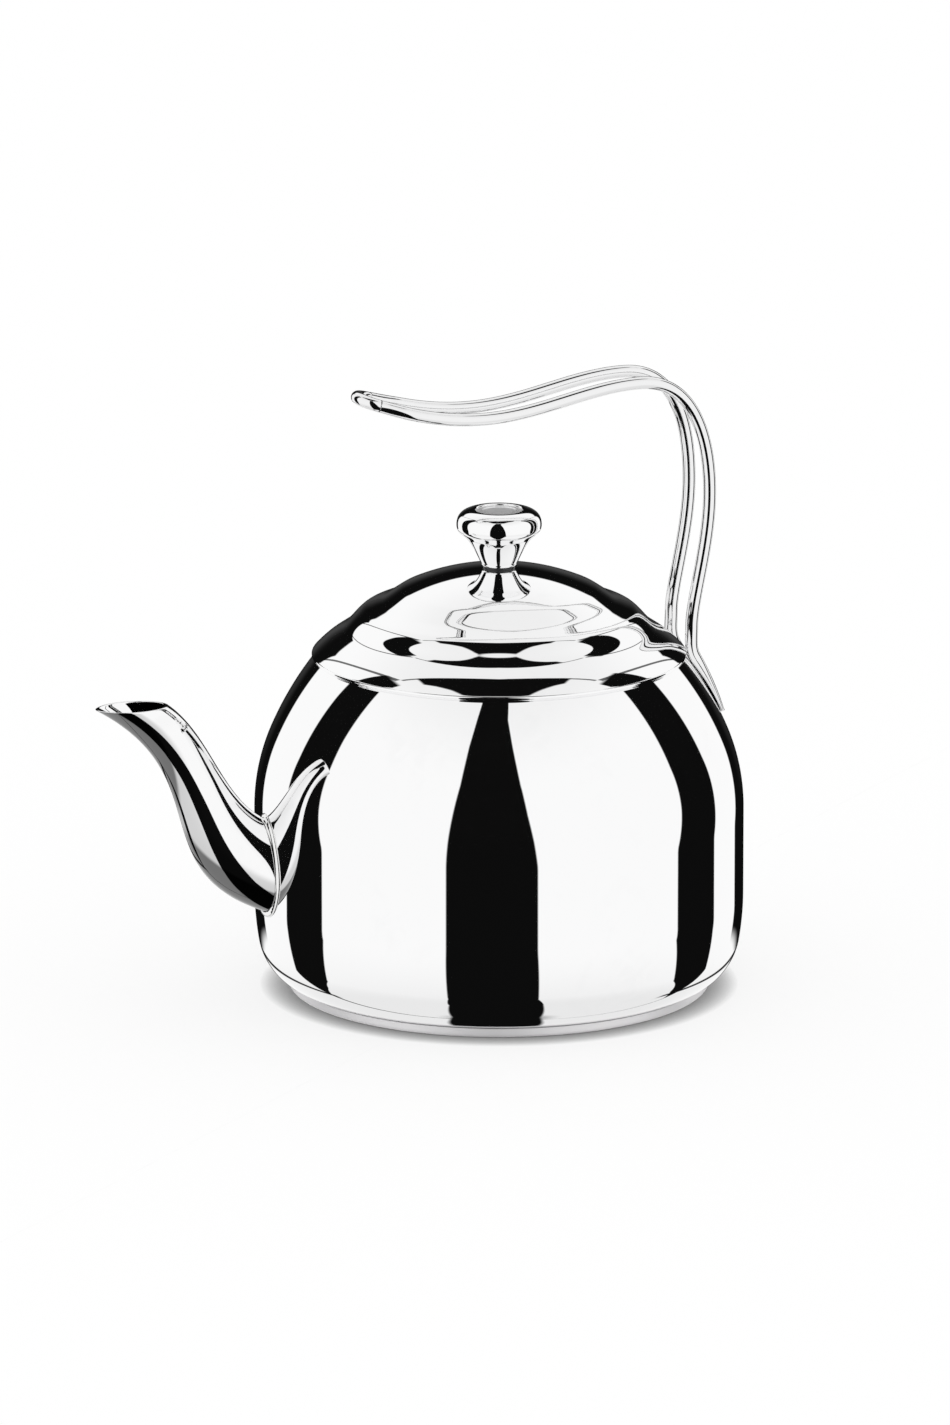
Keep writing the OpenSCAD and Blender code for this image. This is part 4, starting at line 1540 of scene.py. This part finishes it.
    def front_board(self) -> bpy.types.NodeSocket:
        """Tall board in front of the kettle, narrower towards its top.

        Returns:
            Its mask.
        """
        left, right = (self.edge(self.height, e) for e in (self.FRONT_LEFT, self.FRONT_RIGHT))
        tall = self.all(self.between(self.turn, left, right, soft=0.4),
                        self.between(self.height, *self.FRONT_SPAN, soft=1.0))
        left, right = (self.edge(self.low_far, e) for e in (self.FOOT_LEFT, self.FOOT_RIGHT))
        foot = self.all(self.between(self.low_wide, left, right, soft=0.01),
                        self.over(self.FOOT_TOP, self.height, soft=1.0))
        return self.any(tall, foot)

    def side_boards(self) -> bpy.types.NodeSocket:
        """Board on each side, which stands on the table and stops short of the ceiling.

        Returns:
            Their mask.
        """
        boards = [self.between(self.turn, self.edge(self.height, low),
                               self.edge(self.height, high), soft=0.4)
                  for low, high in ((self.LEFT_FAR, self.LEFT_NEAR),
                                    (self.RIGHT_NEAR, self.RIGHT_FAR))]
        short = self.any(self.over(self.reach, self.SIDE_REACH, soft=0.03),
                         self.over(self.SIDE_LOW, self.height, soft=1.0))
        return self.all(self.any(*boards), short)

    def back_board(self) -> bpy.types.NodeSocket:
        """Low dark board behind the kettle.

        Returns:
            Its mask.
        """
        slant = self.bench.math("MULTIPLY", self.far, self.BACK_SLANT)
        top = self.any(self.over(slant, 1.0, soft=0.03),
                       self.over(self.BACK_TOP, self.height, soft=0.5))
        return self.all(self.over(self.side, self.BACK_TURN, soft=0.5), top,
                        self.over(self.height, self.BACK_FOOT, soft=1.0))

    def ceiling_gap(self) -> bpy.types.NodeSocket:
        """Dark opening between the ceiling cloth and the front cloth, like a funnel.

        Returns:
            Its mask.
        """
        near = self.edge(self.reach, self.GAP_NEAR)
        left, right = (self.edge(self.far, e) for e in (self.GAP_LEFT, self.GAP_RIGHT))
        return self.all(self.between(self.far, near, self.GAP_FAR, soft=0.01),
                        self.between(self.wide, left, right, soft=0.015), self.above)

    def ceiling_seam(self) -> bpy.types.NodeSocket:
        """Thin dark outline of the ceiling cloth.

        Returns:
            Its mask.
        """
        near = self.edge(self.reach, self.SEAM_NEAR)
        rim = self.edge(self.bench.math("MULTIPLY", self.far, -1.0), self.SEAM_RIM)
        outer = self.bench.math("ADD", rim, self.SEAM_SIDE_W)
        sides = self.all(self.between(self.reach, rim, outer, soft=0.004),
                         self.over(near, self.far, soft=0.004))
        end = self.bench.math("ADD", near, self.SEAM_NEAR_W)
        front = self.all(self.between(self.far, near, end, soft=0.004),
                         self.over(rim, self.reach, soft=0.01))
        return self.all(self.any(sides, front), self.above, self.SEAM_DARK)

    def table_shade(self) -> bpy.types.NodeSocket:
        """Painted line of shade low at the back of the table.

        Returns:
            Its mask.
        """
        line = self.edge(self.side, self.SHADE_LINE)
        low = self.bench.math("SUBTRACT", line, self.SHADE_HALF)
        high = self.bench.math("ADD", line, self.SHADE_HALF)
        return self.all(self.between(self.height, low, high, soft=0.8),
                        self.over(self.side, self.SHADE_TURN, soft=2.0))

    def colour(self) -> bpy.types.NodeSocket:
        """Colour of the tent in each direction.

        Returns:
            The colour.
        """
        cloth: object = WHITE
        for grey in self.GREYS:
            cloth = self.bench.colour(self.bench.ramp(self.height, *grey), cloth, BLACK)
        glow = self.all(self.over(self.side, self.GLOW_TURN, self.GLOW_SOFT),
                        self.between(self.height, -self.GLOW_HALF, self.GLOW_HALF, self.GLOW_SOFT),
                        self.GLOW)
        dark = self.bench.colour(glow, self.BOARD, WHITE)
        marks = self.any(self.front_board(), self.side_boards(), self.back_board(),
                         self.ceiling_gap(), self.table_shade())
        tent = self.bench.colour(marks, cloth, dark)
        return self.bench.colour(self.ceiling_seam(), tent, self.BOARD)


@dataclass
class Studio:
    """White tent with dark boards, a white floor and the camera.

    Lens and sensor are millimetres, the other lengths metres and the angles degrees.
    """

    azimuth: float = -18.0
    elevation: float = 14.32
    distance: float = 6.0
    lens: float = 247.5
    sensor: float = 24.0
    aim_height: float = 0.100
    aim_right: float = -0.0098
    aim_up: float = 0.0134
    clip: tuple[float, float] = (0.1, 100.0)
    floor_half: float = 40.0
    floor_z: float = -0.0002
    floor_base: float = 0.3
    floor_glow: float = 0.7
    # Reach, steepness and samples of the painted contact shadow in the floor's glow.
    shade_reach: float = 0.010
    shade_power: float = 1.3
    shade_samples: int = 6

    def build(self) -> None:
        """Make the camera, the world and the floor."""
        self.place_camera()
        self.hang_tent()
        self.lay_floor()

    def place_camera(self) -> None:
        """Put the camera far off on a long lens."""
        turn, level = self.azimuth, cos(self.elevation)
        back = Vector((sin(turn) * level, -cos(turn) * level, sin(self.elevation)))
        right = Vector((cos(turn), sin(turn), 0))
        up = back.cross(right)
        data = bpy.data.cameras.new("camera")
        data.sensor_width, data.lens = self.sensor, self.lens
        data.clip_start, data.clip_end = self.clip
        camera = bpy.data.objects.new("camera", data)
        bpy.context.scene.collection.objects.link(camera)
        camera.rotation_mode = "QUATERNION"
        camera.rotation_quaternion = (-back).to_track_quat("-Z", "Y")
        aim = Vector((0, 0, self.aim_height)) + right * self.aim_right + up * self.aim_up
        camera.location = aim + back * self.distance
        bpy.context.scene.camera = camera

    def hang_tent(self) -> None:
        """World of plain white light, in which polished metal also finds the dark boards."""
        world = bpy.data.worlds.new("tent")
        world.use_nodes = True
        bpy.context.scene.world = world
        bench = NodeBench(world.node_tree)
        colour = Tent(bench, self.azimuth).colour()
        tent = bench.add("ShaderNodeBackground", Color=colour, Strength=1.0)
        plain = bench.add("ShaderNodeBackground", Color=WHITE, Strength=1.0)
        path = bench.add("ShaderNodeLightPath").outputs
        mirrored = bench.math("MAXIMUM", path["Is Glossy Ray"], path["Is Transmission Ray"])
        both = bench.add("ShaderNodeMixShader")
        for socket, value in zip(both.inputs, (mirrored, plain.outputs[0], tent.outputs[0])):
            bench.feed(socket, value)
        bench.add("ShaderNodeOutputWorld", Surface=both.outputs[0])

    def lay_floor(self) -> None:
        """Broad white floor with the kettle's soft shadow: a real shadow on its diffuse part, and a
        painted contact shadow that ambient occlusion darkens into its glow.
        """
        half = self.floor_half
        corners = [(x * half, y * half, self.floor_z)
                   for x, y in ((-1, -1), (1, -1), (1, 1), (-1, 1))]
        mesh = bpy.data.meshes.new("floor")
        mesh.from_pydata(corners, [], [(0, 1, 2, 3)])
        floor = bpy.data.objects.new("floor", mesh)
        bpy.context.scene.collection.objects.link(floor)
        floor.visible_glossy = False
        material, bench = blank_material("white_floor")
        # Painted contact shadow: the glow darkens where ambient occlusion finds the kettle close
        # by.
        open_sky = bench.add("ShaderNodeAmbientOcclusion", {"samples": self.shade_samples},
                             Distance=self.shade_reach).outputs["AO"]
        glow = bench.colour(bench.math("POWER", open_sky, self.shade_power), BLACK, WHITE)
        shader = bench.add("ShaderNodeBsdfPrincipled", Base_Color=(*(self.floor_base,) * 3, 1.0),
                           Roughness=1.0, Specular_IOR_Level=0.0,
                           Emission_Color=glow, Emission_Strength=self.floor_glow)
        bench.add("ShaderNodeOutputMaterial", Surface=shader.outputs[0])
        mesh.materials.append(material)


def main() -> None:
    """Build the kettle and its studio in order."""
    logging.basicConfig(level=logging.INFO, format="%(name)s: %(message)s")
    bpy.context.scene.view_settings.view_transform = "Standard"
    Studio().build()
    body = Body()
    body.build()
    Spout(body).build()
    lid = Lid(body)
    lid.build()
    knob = Knob(lid)
    knob.build()
    Handle(body, lid, knob).build()


if __name__ == "__main__":
    main()
